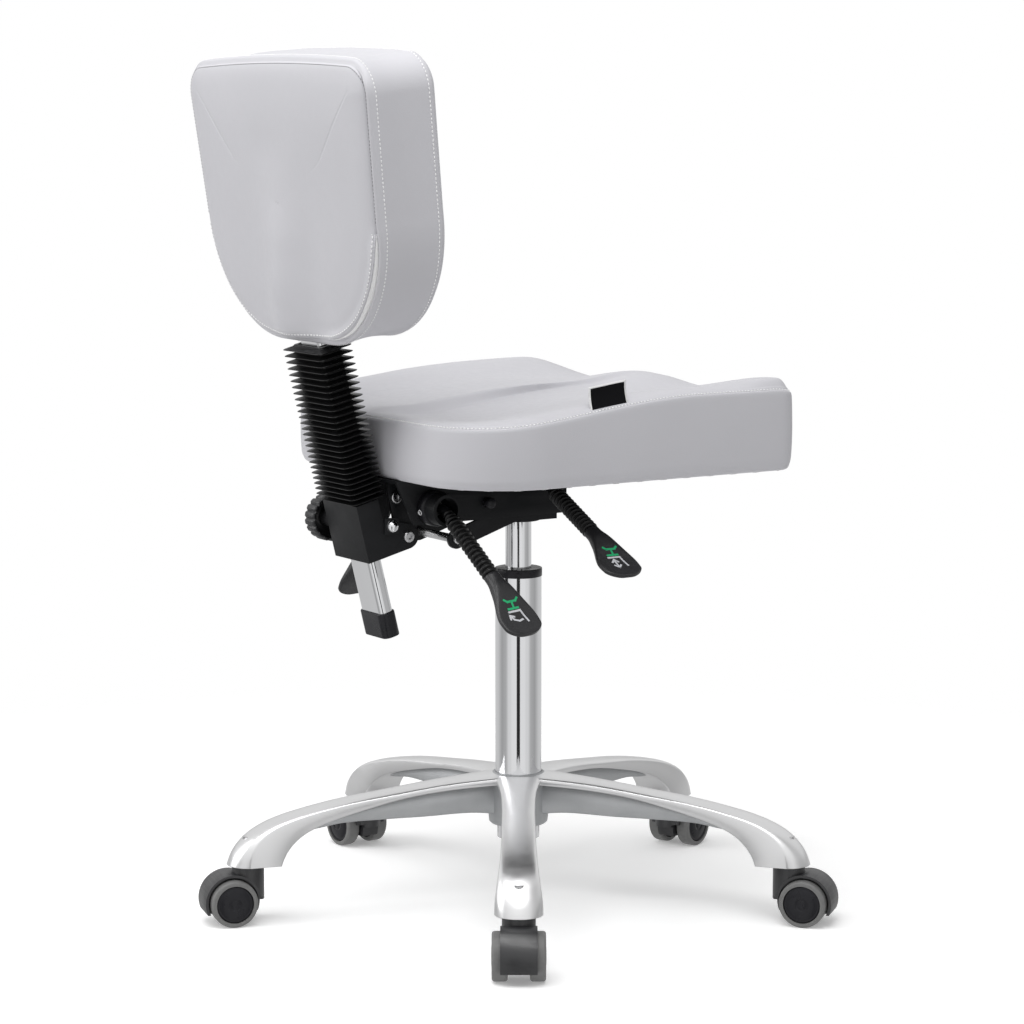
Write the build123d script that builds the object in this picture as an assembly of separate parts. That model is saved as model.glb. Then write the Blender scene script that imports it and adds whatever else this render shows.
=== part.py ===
from build123d import *
import math
import os

# Medical stool with a contoured seat, a sliding backrest and a five-arm base on twin-wheel casters.
# X points forward, Y to the sitter's left, Z up. The origin is on the floor under the column's axis.
# Lengths are in millimetres, angles in degrees.

# Clearances
RUN = 0.05
GAP = 0.3

# Casters
WHEEL_DIAMETER = 50.0
WHEEL_WIDTH = 16.0
WHEEL_SPACING = 22.0
TREAD_THICKNESS = 5.0
TREAD_ROUND = 3.0
WHEEL_FACE = 3.0
WHEEL_RECESS = 0.8
AXLE_DIAMETER = 8.0
CASTER_TRAIL = 20.0
HOOD_WALL = 3.0
HOOD_ROOM = 2.0
HOOD_COVER = 7.5
HOOD_FLOOR_GAP = 13.5
HOOD_SIDE_GAP = 0.6
NECK_DIAMETER = 34.0
NECK_HEIGHT = 7.0
STEM_DIAMETER = 11.0
STEM_LENGTH = 30.0
STEM_SEAT = 14.0

# Five-arm base, turned to face one arm away from the sitter's right hand
ARM_COUNT = 5
ARM_TURN = 21.0
ARM_REACH = 302.0
ARM_RISE = 80.0
ARM_SAG = 9.0
ARM_BAND = 9.0
ARM_WAIST = 34.0
ARM_ROOT_WIDTH = 52.0
ARM_TIP_WIDTH = 48.0
ARM_SHOULDER_DROP = 39.0
WEB_WIDTH = 18.0
WEB_DEPTH = 40.0
HUB_DIAMETER = 64.0
HUB_DEPTH = 56.0

# Lift column
COLUMN_DIAMETER = 50.0
COLUMN_WALL = 3.0
COLUMN_HEIGHT = 215.0
COLUMN_TAPER = 2.0
COLUMN_TAIL = 16.0
COLUMN_FLOOR = 6.0
COLLAR_HEIGHT = 9.0
COLLAR_LIP = 0.6
BUSH_LENGTH = 60.0
LIFT_DIAMETER = 28.0
LIFT_WALL = 2.0
LIFT_EXPOSED = 52.0
LIFT_LENGTH = 302.0
LIFT_GUIDE = 15.0
LIFT_HEAD = 17.0
SOCKET_DEPTH = 34.0
ROD_DIAMETER = 10.0
PISTON_HEIGHT = 12.0
PISTON_RISE = 149.7
BEARING_HEIGHT = 6.0
BEARING_DIAMETER = 28.0
SHOULDER_HEIGHT = 3.0
SNAP_RING_HEIGHT = 2.0
SNAP_RING_DIAMETER = 16.0
BUTTON_DIAMETER = 12.0
BUTTON_HEIGHT = 2.3

# Tilt mechanism under the seat
MECHANISM_HEIGHT = 60.0
PLATE_THICKNESS = 3.0
PLATE_FRONT = 22.0
PLATE_REAR = -188.0
PLATE_WIDTH = 120.0
FLANGE_DEPTH = 47.0
FLANGE_SLANT = 20.0
TILT_X = 11.0
TILT_DROP = 32.0
TILT_PIN_DIAMETER = 9.0
SOCKET_WALL = 9.0
HOUSING_WIDTH = 80.0
HOUSING_WALL = 4.0
EAR_X = -103.0
EAR_DROP = 69.0
EAR_RADIUS = 10.0
BOLT_DIAMETER = 6.0
BOLT_HEAD_DIAMETER = 12.0
BOLT_HEAD_HEIGHT = 4.0
PLATE_BOLT_FRONT = 10.0
PLATE_BOLT_REAR = 61.5
PLATE_BOLT_SIDE = 18.0

# Seat
SEAT_WIDTH = 416.0
SEAT_FRONT = 221.0
SEAT_REAR = -190.0
SEAT_REAR_CORNER = 95.0
SEAT_FRONT_CORNER = 24.0
SEAT_SIDE = 63.0
SEAT_FRONT_RISE = 24.0
SEAT_RISE_START = 8.0
SEAT_RISE_RUN = 277.0
SEAT_CROWN = 11.0
SEAT_ROLL = 16.0
SEAT_RIM = 44.0
SEAT_SAG = 3.0
SEAT_DISH = 6.0
SEAT_POMMEL = 1.0
SEAT_CHANNEL = 16.0
SEAT_FALL = 20.0
SEAT_FALL_RUN = 92.0
SEAT_SPAN_COUNT = 7
SEAT_EDGE = 2.0
SEAT_TUCK = 7.0
SEAT_DRAW = 3.0
BOARD_THICKNESS = 12.0
SEAT_BOARD_INSET = 14.0

# Backrest, its bar and the bracket that holds the bar
BACK_PIVOT_X = -160.0
BACK_PIVOT_DROP = 62.0
BAR_BEHIND_PIVOT = 37.0
BAR_LEAN = 14.0
BAR_WIDTH = 44.0
BAR_DEPTH = 16.0
BAR_WALL = 2.0
BAR_ROUND = 6.0
BAR_BELOW = 108.0
BAR_TUCK = 13.0
CAP_LENGTH = 27.0
CAP_WALL = 2.0
BRACKET_WIDTH = 70.0
BRACKET_WALL = 3.0
BRACKET_BELOW = 22.0
BRACKET_ABOVE = 40.0
BRACKET_HEEL = 4.0
CHEEK_RADIUS = 13.0
LUG_RADIUS = 11.0
LUG_THICKNESS = 3.0
STOP_PLATE = 17.0
STOP_DOME = 7.0
KNOB_DIAMETER = 50.0
KNOB_LENGTH = 30.0
KNOB_STANDOFF = 5.0
KNOB_FLUTES = 18
KNOB_FLUTE_RADIUS = 2.4
SCREW_DIAMETER = 8.0
CLAMP_LEVEL = 13.0
BACK_WIDTH = 374.0
BACK_TAPER = 8.0
BACK_HEIGHT = 287.0
BACK_THICKNESS = 80.0
BACK_CROWN = 7.0
BACK_LEAN = 7.0
BACK_RISE = 141.7
BACK_SETBACK = 66.0
BACK_TOP_CORNER = 34.0
BACK_BOTTOM_CORNER = 130.0
BACK_REAR_ROUND = 4.0
BACK_FRONT_ROUND = 9.0
BACK_SLOPE_INSET = 24.0
BACK_FLAT_INSET = 68.0
BACK_TOP_BOW = 6.0
BACK_DRAW = 3.0
BACK_BOARD_INSET = 16.0
BLADE_THICKNESS = 6.0
BLADE_LENGTH = 150.0
BLADE_COVER = 4.5

# Bellows over the bar
BELLOWS_RIBS = 27
BELLOWS_WIDTH = 80.0
BELLOWS_DEPTH = 42.0
BELLOWS_FOLD = 8.0
BELLOWS_CORNER = 6.0
BELLOWS_CLEARANCE = 0.5

# Levers
LEVER_DIAMETER = 10.0
LIFT_LEVER_X = -8.0
LIFT_LEVER_INNER = -6.0
LIFT_LEVER_BEND = 66.0
LIFT_LEVER_SLOPE = 26.0
TILT_LEVER_X = -145.0
BACK_LEVER_X = -109.0
SHORT_LEVER_BEND = 84.0
TILT_LEVER_SLOPE = 40.0
BACK_LEVER_SLOPE = 47.0
SHORT_LEVER_SWEEP = 9.0
SHORT_LEVER_DROP = 30.0
BUTTON_ROOM = 5.0
LEVER_INNER_Y = 44.0
LEVER_PIVOT_Y = 50.0
LEVER_PIVOT_DIAMETER = 6.0
LEVER_PIVOT_LENGTH = 22.0
LEVER_EAR_THICKNESS = 3.0
LEVER_EAR_RADIUS = 6.0
LEVER_HOLE_ROOM = 2.5
LEVER_BEND_RADIUS = 14.0
LEVER_BOSS_LENGTH = 29.0
LEVER_BOSS_DIAMETER = 33.0
LEVER_BOSS_WALL = 3.5
SLEEVE_RIBS = 13
SLEEVE_PITCH = 5.8
SLEEVE_DIAMETER = 18.0
SLEEVE_FOLD = 2.6
SLEEVE_START = 18.0
PADDLE_LENGTH = 78.0
PADDLE_WIDTH = 46.0
PADDLE_NECK = 18.0
PADDLE_THICKNESS = 8.0
PADDLE_ROUND = 2.5
PADDLE_GRIP = 26.0

# Levels that follow from the sizes above
WHEEL_RADIUS = WHEEL_DIAMETER / 2
HOOD_RADIUS = WHEEL_RADIUS + HOOD_ROOM + HOOD_WALL
HOOD_TOP = WHEEL_RADIUS + HOOD_RADIUS
NECK_TOP = HOOD_TOP + NECK_HEIGHT
TIP_BOTTOM = NECK_TOP + GAP
HUB_TOP = TIP_BOTTOM + ARM_RISE
HUB_BOTTOM = HUB_TOP - HUB_DEPTH
COLUMN_TOP = HUB_TOP + COLUMN_HEIGHT
COLUMN_BOTTOM = HUB_BOTTOM - COLUMN_TAIL
COLLAR_TOP = COLUMN_TOP + COLLAR_HEIGHT
HOUSING_BOTTOM = COLLAR_TOP + LIFT_EXPOSED
SOCKET_TOP = HOUSING_BOTTOM + SOCKET_DEPTH
LIFT_BOTTOM = SOCKET_TOP - LIFT_LENGTH
PISTON_LEVEL = LIFT_BOTTOM + PISTON_RISE
PLATE_TOP = HOUSING_BOTTOM + MECHANISM_HEIGHT
PLATE_UNDER = PLATE_TOP - PLATE_THICKNESS
FLANGE_INNER = PLATE_WIDTH / 2 - PLATE_THICKNESS
TILT_Z = PLATE_TOP - TILT_DROP
EAR_Z = PLATE_TOP - EAR_DROP
BACK_PIVOT_Z = PLATE_TOP - BACK_PIVOT_DROP
BAR_X = BACK_PIVOT_X - BAR_BEHIND_PIVOT
BACK_BOTTOM_Z = PLATE_TOP + BACK_RISE
BACK_FACE_X = BAR_X - BACK_SETBACK
LUG_INNER = BRACKET_WIDTH / 2 - BRACKET_WALL - LUG_THICKNESS - 2 * GAP
SHORT_LEVER_Z = PLATE_TOP - SHORT_LEVER_DROP
LIFT_LEVER_Z = SOCKET_TOP + BUTTON_HEIGHT + LEVER_DIAMETER / 2 + BUTTON_ROOM

# Each lever: place along X, side (1 left, -1 right), height, inner end, bend, slope down and sweep forward
SHORT_LEVER = {
    "z": SHORT_LEVER_Z,
    "inner": LEVER_INNER_Y,
    "bend": SHORT_LEVER_BEND,
    "sweep": SHORT_LEVER_SWEEP,
    "boss": True,
}
LEVERS = {
    "lift": {
        "x": LIFT_LEVER_X,
        "side": -1,
        "z": LIFT_LEVER_Z,
        "inner": LIFT_LEVER_INNER,
        "bend": LIFT_LEVER_BEND,
        "drop": LIFT_LEVER_SLOPE,
        "sweep": 0.0,
        "boss": False,
    },
    "tilt": {"x": TILT_LEVER_X, "side": -1, "drop": TILT_LEVER_SLOPE, **SHORT_LEVER},
    "back": {"x": BACK_LEVER_X, "side": 1, "drop": BACK_LEVER_SLOPE, **SHORT_LEVER},
}

# Frames of the sliding bar and of the backrest; each has Z up along its piece and X forward
BAR_FRAME = Location((BAR_X, 0, BACK_PIVOT_Z), (0, -BAR_LEAN, 0))
BACK_FRAME = Location((BACK_FACE_X, 0, BACK_BOTTOM_Z), (0, -BACK_LEAN, 0))


def save(name, shape):
    export_step(shape, f"parts/{name}.step")


def upright(radius, bottom, top, x=0, y=0):
    height = top - bottom
    return Pos(x, y, bottom + height / 2) * Cylinder(radius, height)


def crosswise(radius, start, end, x=0, z=0):
    length = end - start
    return Pos(x, start + length / 2, z) * Rot(90, 0, 0) * Cylinder(radius, length)


def block(x0, x1, y0, y1, z0, z1):
    return Pos((x0 + x1) / 2, (y0 + y1) / 2, (z0 + z1) / 2) * Box(x1 - x0, y1 - y0, z1 - z0)


def side_plate(face, y0, y1):
    """A face drawn in the XZ plane, made a plate between two places along Y."""
    plate = extrude(face, y1 - y0, dir=(0, 1, 0))
    return Pos(0, y0, 0) * plate


def xz(x, z):
    return (x, 0, z)


# Casters
def caster_hood():
    reach = WHEEL_SPACING / 2 + HOOD_COVER
    web = WHEEL_SPACING / 2 - HOOD_SIDE_GAP
    room = HOOD_RADIUS - HOOD_WALL
    hood = crosswise(HOOD_RADIUS, -reach, reach, CASTER_TRAIL, WHEEL_RADIUS)
    hood += upright(NECK_DIAMETER / 2, WHEEL_RADIUS, NECK_TOP)
    for side in (1, -1):
        ends = sorted((side * web, side * (reach + NECK_DIAMETER)))
        hood -= crosswise(room, *ends, CASTER_TRAIL, WHEEL_RADIUS)
        hood -= block(-NECK_DIAMETER, CASTER_TRAIL, *ends, 0, WHEEL_RADIUS + HOOD_WALL)
    hood -= block(-HOOD_RADIUS, CASTER_TRAIL + 2 * HOOD_RADIUS, -reach, reach, -HOOD_RADIUS, HOOD_FLOOR_GAP)
    hood -= crosswise(AXLE_DIAMETER / 2 + RUN, -reach, reach, CASTER_TRAIL, WHEEL_RADIUS)
    hood -= upright(STEM_DIAMETER / 2 + RUN, NECK_TOP - STEM_SEAT, NECK_TOP + 1)
    return hood


def caster_pins():
    half = WHEEL_SPACING / 2 + WHEEL_WIDTH - WHEEL_FACE - GAP
    axle = crosswise(AXLE_DIAMETER / 2, -half, half, CASTER_TRAIL, WHEEL_RADIUS)
    stem = upright(STEM_DIAMETER / 2, NECK_TOP - STEM_SEAT + GAP, TIP_BOTTOM + STEM_LENGTH)
    return Compound(children=[axle.solid(), stem.solid()])


def caster_wheel(side):
    inner = side * WHEEL_SPACING / 2
    outer = inner + side * WHEEL_WIDTH
    hub_radius = WHEEL_RADIUS - TREAD_THICKNESS - RUN
    bore_end = outer - side * WHEEL_FACE
    recess = outer - side * WHEEL_RECESS
    at = (CASTER_TRAIL, WHEEL_RADIUS)
    wheel = crosswise(hub_radius, *sorted((inner, outer)), *at)
    wheel -= crosswise(AXLE_DIAMETER / 2 + RUN, *sorted((inner - side, bore_end)), *at)
    wheel -= crosswise(hub_radius - WHEEL_FACE, *sorted((recess, outer + side)), *at)
    return wheel


def caster_tread(side):
    ends = sorted((side * WHEEL_SPACING / 2, side * (WHEEL_SPACING / 2 + WHEEL_WIDTH)))
    at = (CASTER_TRAIL, WHEEL_RADIUS)
    tread = crosswise(WHEEL_RADIUS, *ends, *at)
    tread = fillet(tread.edges().filter_by(GeomType.CIRCLE), TREAD_ROUND)
    return tread - crosswise(WHEEL_RADIUS - TREAD_THICKNESS, ends[0] - 1, ends[1] + 1, *at)


def arm_angle(index):
    return ARM_TURN + index * 360 / ARM_COUNT


def make_casters():
    pieces = {
        "hood": caster_hood(),
        "pins": caster_pins(),
        "wheel_left": caster_wheel(1),
        "wheel_right": caster_wheel(-1),
        "tread_left": caster_tread(1),
        "tread_right": caster_tread(-1),
    }
    for index in range(ARM_COUNT):
        place = Rot(0, 0, arm_angle(index)) * Pos(ARM_REACH, 0, 0)
        for name, piece in pieces.items():
            save(f"caster_{index + 1}_{name}", place * piece)


# Base
def arm_band_face():
    """Side outline of the polished band, from the hub to the rounded tip."""
    tip_end = ARM_REACH + ARM_TIP_WIDTH / 2
    shoulder = (ARM_REACH - ARM_TIP_WIDTH / 4, HUB_TOP - ARM_SHOULDER_DROP)
    middle = (shoulder[0] / 2, HUB_TOP - ARM_SHOULDER_DROP / 2 + ARM_SAG)
    heel = ARM_REACH - ARM_TIP_WIDTH * 0.66
    knee = (heel - ARM_TIP_WIDTH / 2, shoulder[1] - ARM_BAND)
    under = (knee[0] / 2, middle[1] - ARM_BAND)
    top = ThreePointArc(xz(0, HUB_TOP), xz(*middle), xz(*shoulder))
    nose = TangentArc(xz(*shoulder), xz(tip_end, TIP_BOTTOM + ARM_BAND / 2), tangent=top % 1)
    front = Line(nose @ 1, xz(tip_end, TIP_BOTTOM))
    sole = Line(front @ 1, xz(heel, TIP_BOTTOM))
    arch = ThreePointArc(
        sole @ 1,
        xz(heel - ARM_TIP_WIDTH / 6, (TIP_BOTTOM + knee[1]) / 2 + ARM_BAND / 3),
        xz(*knee),
    )
    belly = ThreePointArc(arch @ 1, xz(*under), xz(0, HUB_TOP - ARM_BAND))
    root = Line(belly @ 1, top @ 0)
    return make_face([top, nose, front, sole, arch, belly, root])


def arm_plan_face():
    """Top outline: wide at the hub, waisted along the arm, round at the tip."""
    waist = ARM_WAIST / 2
    tip = ARM_TIP_WIDTH / 2
    flank_points = [
        (0, ARM_ROOT_WIDTH / 2),
        (ARM_REACH * 0.22, waist),
        (ARM_REACH * 0.72, waist),
        (ARM_REACH, tip),
    ]
    flank = Spline(*flank_points, tangents=[(1, 0), (1, 0)])
    other = Spline(*[(x, -y) for x, y in flank_points], tangents=[(1, 0), (1, 0)])
    end = ThreePointArc((ARM_REACH, tip), (ARM_REACH + tip, 0), (ARM_REACH, -tip))
    root = Line((0, ARM_ROOT_WIDTH / 2), (0, -ARM_ROOT_WIDTH / 2))
    return make_face([flank, end, other, root])


def arm_web():
    shoulder_z = HUB_TOP - ARM_SHOULDER_DROP
    deep = HUB_TOP - WEB_DEPTH
    outline = Polyline(
        xz(0, HUB_TOP - ARM_BAND),
        xz(ARM_REACH * 0.8, shoulder_z - ARM_BAND / 2),
        xz(ARM_REACH * 0.5, deep),
        xz(HUB_DIAMETER * 0.8, deep),
        xz(HUB_DIAMETER * 0.4, HUB_BOTTOM + ARM_BAND),
        xz(0, HUB_BOTTOM + ARM_BAND),
        close=True,
    )
    return side_plate(make_face(outline), -WEB_WIDTH / 2, WEB_WIDTH / 2)


def base_arm():
    band = side_plate(arm_band_face(), -ARM_ROOT_WIDTH, ARM_ROOT_WIDTH)
    plan = extrude(arm_plan_face(), HUB_TOP + ARM_RISE)
    return band & plan


def base_star():
    arm = base_arm() + arm_web()
    socket = STEM_DIAMETER / 2 + RUN
    arm -= upright(socket, TIP_BOTTOM - 1, TIP_BOTTOM + STEM_LENGTH + GAP, ARM_REACH)
    star = upright(HUB_DIAMETER / 2, HUB_BOTTOM, HUB_TOP - ARM_BAND / 2)
    for index in range(ARM_COUNT):
        star += Rot(0, 0, arm_angle(index)) * arm
    top = COLUMN_DIAMETER / 2 + RUN
    star -= Pos(0, 0, HUB_BOTTOM + HUB_DEPTH / 2) * Cone(top - COLUMN_TAPER, top, HUB_DEPTH)
    return star


# Lift column
def column_tube():
    radius = COLUMN_DIAMETER / 2
    tube = upright(radius, HUB_TOP, COLUMN_TOP)
    tube += Pos(0, 0, HUB_BOTTOM + HUB_DEPTH / 2) * Cone(radius - COLUMN_TAPER, radius, HUB_DEPTH)
    tube += upright(radius - COLUMN_TAPER, COLUMN_BOTTOM, HUB_BOTTOM)
    bore = radius - COLUMN_WALL
    tube -= upright(bore, HUB_TOP, COLUMN_TOP + 1)
    tube -= upright(bore - COLUMN_TAPER, COLUMN_BOTTOM + COLUMN_FLOOR, HUB_TOP + 1)
    return tube - upright(ROD_DIAMETER / 2 + RUN, COLUMN_BOTTOM - 1, HUB_BOTTOM)


def guide_bush():
    bush = upright(COLUMN_DIAMETER / 2 - COLUMN_WALL - RUN, COLUMN_TOP - BUSH_LENGTH, COLUMN_TOP)
    bush += upright(COLUMN_DIAMETER / 2 + COLLAR_LIP, COLUMN_TOP, COLLAR_TOP)
    return bush - upright(LIFT_DIAMETER / 2 + RUN, COLUMN_TOP - BUSH_LENGTH - 1, COLLAR_TOP + 1)


def thrust_bearing():
    floor = COLUMN_BOTTOM + COLUMN_FLOOR
    ring = upright(BEARING_DIAMETER / 2, floor, floor + BEARING_HEIGHT)
    return ring - upright(ROD_DIAMETER / 2 + RUN, floor - 1, floor + BEARING_HEIGHT + 1)


def piston_rod():
    shoulder = COLUMN_BOTTOM + COLUMN_FLOOR + BEARING_HEIGHT + GAP
    ring_top = COLUMN_BOTTOM - GAP
    rod = upright(ROD_DIAMETER / 2, ring_top - SNAP_RING_HEIGHT - GAP, PISTON_LEVEL)
    rod += upright(SNAP_RING_DIAMETER / 2, ring_top - SNAP_RING_HEIGHT, ring_top)
    rod += upright(BEARING_DIAMETER / 2 - LIFT_WALL, shoulder, shoulder + SHOULDER_HEIGHT)
    piston = LIFT_DIAMETER / 2 - LIFT_WALL - RUN
    return rod + upright(piston, PISTON_LEVEL, PISTON_LEVEL + PISTON_HEIGHT)


def gas_cylinder():
    cylinder = upright(LIFT_DIAMETER / 2, LIFT_BOTTOM, SOCKET_TOP)
    cylinder += upright(BUTTON_DIAMETER / 2, SOCKET_TOP, SOCKET_TOP + BUTTON_HEIGHT)
    chamber = LIFT_DIAMETER / 2 - LIFT_WALL
    cylinder -= upright(chamber, LIFT_BOTTOM + LIFT_GUIDE, SOCKET_TOP - LIFT_HEAD)
    return cylinder - upright(ROD_DIAMETER / 2 + RUN, LIFT_BOTTOM - 1, LIFT_BOTTOM + LIFT_GUIDE + 1)


# Tilt mechanism
def plate_hull(*outlines):
    """A flat plate outline drawn round several shapes, in the XZ plane."""
    edges = ShapeList()
    for outline in outlines:
        edges += outline.edges()
    return Rot(90, 0, 0) * make_hull(edges)


def disc_at(x, z, radius):
    return Pos(x, z) * Circle(radius)


def both_sides(inner, outer):
    """The same span along Y on the left and on the right, each from low to high."""
    return [(inner, outer), (-outer, -inner)]


def tilt_housing():
    socket = LIFT_DIAMETER / 2 + RUN
    outer = socket + SOCKET_WALL
    half = HOUSING_WIDTH / 2
    housing = upright(outer, HOUSING_BOTTOM, SOCKET_TOP)
    housing += block(-outer, outer, -half, half, HOUSING_BOTTOM + HOUSING_WALL, SOCKET_TOP - HOUSING_WALL)
    arm = plate_hull(disc_at(TILT_X, TILT_Z, EAR_RADIUS), disc_at(EAR_X, EAR_Z, EAR_RADIUS))
    for ends in both_sides(half - HOUSING_WALL, half):
        housing += side_plate(arm, *ends)
    housing -= upright(socket, HOUSING_BOTTOM - 1, SOCKET_TOP + 1)
    hole = TILT_PIN_DIAMETER / 2 + RUN
    for ends in both_sides(outer + GAP, half + 1):
        housing -= crosswise(hole, *ends, TILT_X, TILT_Z)
    return housing - crosswise(hole, -half - 1, half + 1, EAR_X, EAR_Z)


def tilt_pins():
    """Two shoulder bolts that the seat tilts on, and the cross pin through the rear ears."""
    root = LIFT_DIAMETER / 2 + SOCKET_WALL + 2 * GAP
    reach = PLATE_WIDTH / 2 + GAP
    radius = TILT_PIN_DIAMETER / 2
    pins = []
    for side in (1, -1):
        pin = crosswise(radius, *sorted((side * root, side * reach)), TILT_X, TILT_Z)
        head = sorted((side * reach, side * (reach + BOLT_HEAD_HEIGHT)))
        pin += crosswise(BOLT_HEAD_DIAMETER / 2, *head, TILT_X, TILT_Z)
        pins.append(pin.solid())
    cross = HOUSING_WIDTH / 2 + BOLT_HEAD_HEIGHT
    pins.append(crosswise(radius, -cross, cross, EAR_X, EAR_Z).solid())
    return Compound(children=pins)


def lever_pivot(lever, radius, length):
    """A round bar along X through the place where a lever rocks."""
    place = Pos(lever["x"], lever["side"] * LEVER_PIVOT_Y, lever["z"])
    return place * Rot(0, 90, 0) * Cylinder(radius, length)


def lever_mount(lever):
    """The two ears that carry one lever, with its boss outside the flange where it has one."""
    near = LEVER_DIAMETER / 2 + LEVER_HOLE_ROOM
    far = near + LEVER_EAR_THICKNESS
    y0, y1 = sorted((lever["side"] * (LEVER_PIVOT_Y - LEVER_EAR_RADIUS), lever["side"] * FLANGE_INNER))
    z0 = lever["z"] - LEVER_EAR_RADIUS
    ears = block(lever["x"] - far, lever["x"] - near, y0, y1, z0, PLATE_UNDER)
    ears += block(lever["x"] + near, lever["x"] + far, y0, y1, z0, PLATE_UNDER)
    if lever["boss"]:
        half = PLATE_WIDTH / 2
        ends = sorted((lever["side"] * half, lever["side"] * (half + LEVER_BOSS_LENGTH)))
        ears += crosswise(LEVER_BOSS_DIAMETER / 2, *ends, lever["x"], lever["z"])
    return ears


def lever_passage(lever):
    """What the lever needs cut away: its pivot holes and room to rock in the flange and boss."""
    inner = LEVER_DIAMETER / 2 + LEVER_HOLE_ROOM
    if lever["boss"]:
        inner = LEVER_BOSS_DIAMETER / 2 - LEVER_BOSS_WALL
    outside = PLATE_WIDTH / 2 + LEVER_BOSS_LENGTH + 1
    ends = sorted((lever["side"] * (FLANGE_INNER - GAP), lever["side"] * outside))
    passage = crosswise(inner, *ends, lever["x"], lever["z"])
    return passage + lever_pivot(lever, LEVER_PIVOT_DIAMETER / 2 + RUN, LEVER_PIVOT_LENGTH + 2)


def plate_bolt_places():
    xs = (PLATE_REAR + PLATE_BOLT_REAR, PLATE_FRONT - PLATE_BOLT_FRONT)
    ys = (PLATE_BOLT_SIDE - PLATE_WIDTH / 2, PLATE_WIDTH / 2 - PLATE_BOLT_SIDE)
    return [(x, y) for x in xs for y in ys]


def lug_bolt_place():
    return (BACK_PIVOT_X - CHEEK_RADIUS, BACK_PIVOT_Z + BACK_PIVOT_DROP * 0.67)


def seat_plate():
    half = PLATE_WIDTH / 2
    plate = block(PLATE_REAR, PLATE_FRONT, -half, half, PLATE_UNDER, PLATE_TOP)
    flange = Polyline(
        xz(PLATE_REAR, PLATE_UNDER),
        xz(PLATE_FRONT, PLATE_UNDER),
        xz(PLATE_FRONT, PLATE_TOP - FLANGE_DEPTH),
        xz(PLATE_REAR + FLANGE_SLANT, PLATE_TOP - FLANGE_DEPTH),
        close=True,
    )
    for ends in both_sides(FLANGE_INNER, half):
        plate += side_plate(make_face(flange), *ends)
    lug_top = Pos(BACK_PIVOT_X, PLATE_UNDER - LUG_RADIUS / 2) * Rectangle(4 * LUG_RADIUS, LUG_RADIUS)
    lug = plate_hull(disc_at(BACK_PIVOT_X, BACK_PIVOT_Z, LUG_RADIUS), lug_top)
    lug_outer = LUG_INNER + LUG_THICKNESS
    for ends in both_sides(LUG_INNER, lug_outer):
        plate += side_plate(lug, *ends)
    for lever in LEVERS.values():
        plate += lever_mount(lever)
    for lever in LEVERS.values():
        plate -= lever_passage(lever)
    across = (-half - 1, half + 1)
    plate -= crosswise(TILT_PIN_DIAMETER / 2 + RUN, *across, TILT_X, TILT_Z)
    for x, z in ((BACK_PIVOT_X, BACK_PIVOT_Z), lug_bolt_place()):
        plate -= crosswise(BOLT_DIAMETER / 2 + RUN, -lug_outer - 1, lug_outer + 1, x, z)
    for x, y in plate_bolt_places():
        plate -= upright(BOLT_DIAMETER / 2 + RUN, PLATE_UNDER - 1, PLATE_TOP + 1, x, y)
    return plate


def seat_bolts():
    """Four bolts into the seat board and one on each rear lug."""
    bolts = []
    shank_top = PLATE_TOP + BOARD_THICKNESS * 0.7
    for x, y in plate_bolt_places():
        bolt = upright(BOLT_DIAMETER / 2, PLATE_UNDER - GAP, shank_top, x, y)
        bolt += upright(BOLT_HEAD_DIAMETER / 2, PLATE_UNDER - BOLT_HEAD_HEIGHT, PLATE_UNDER, x, y)
        bolts.append(bolt.solid())
    x, z = lug_bolt_place()
    face = LUG_INNER + LUG_THICKNESS
    for side in (1, -1):
        shank = sorted((side * LUG_INNER, side * face))
        head = sorted((side * face, side * (face + BOLT_HEAD_HEIGHT)))
        bolt = crosswise(BOLT_DIAMETER / 2, *shank, x, z)
        bolt += crosswise(BOLT_HEAD_DIAMETER / 2, *head, x, z)
        bolts.append(bolt.solid())
    return Compound(children=bolts)


# Seat
def smooth(share):
    share = min(1.0, max(0.0, share))
    return share * share * (3 - 2 * share)


def seat_outline(inset):
    length = SEAT_FRONT - SEAT_REAR - 2 * inset
    sheet = Pos((SEAT_FRONT + SEAT_REAR) / 2, 0) * Rectangle(length, SEAT_WIDTH - 2 * inset)
    corners = sheet.vertices().group_by(Axis.X)
    sheet = fillet(corners[0], SEAT_REAR_CORNER - inset)
    corners = sheet.vertices().sort_by(Axis.X)[-2:]
    return fillet(corners, SEAT_FRONT_CORNER - inset)


def seat_board():
    board = Pos(0, 0, PLATE_TOP) * extrude(seat_outline(SEAT_BOARD_INSET), BOARD_THICKNESS)
    for x, y in plate_bolt_places():
        board -= upright(BOLT_DIAMETER / 2 + RUN, PLATE_TOP - 1, PLATE_TOP + BOARD_THICKNESS * 0.8, x, y)
    return board


def corner_loss(distance, radius):
    """How much narrower the outline is at a distance from an end with rounded corners."""
    if distance >= radius:
        return 0.0
    return radius - math.sqrt(radius**2 - (radius - distance) ** 2)


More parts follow.
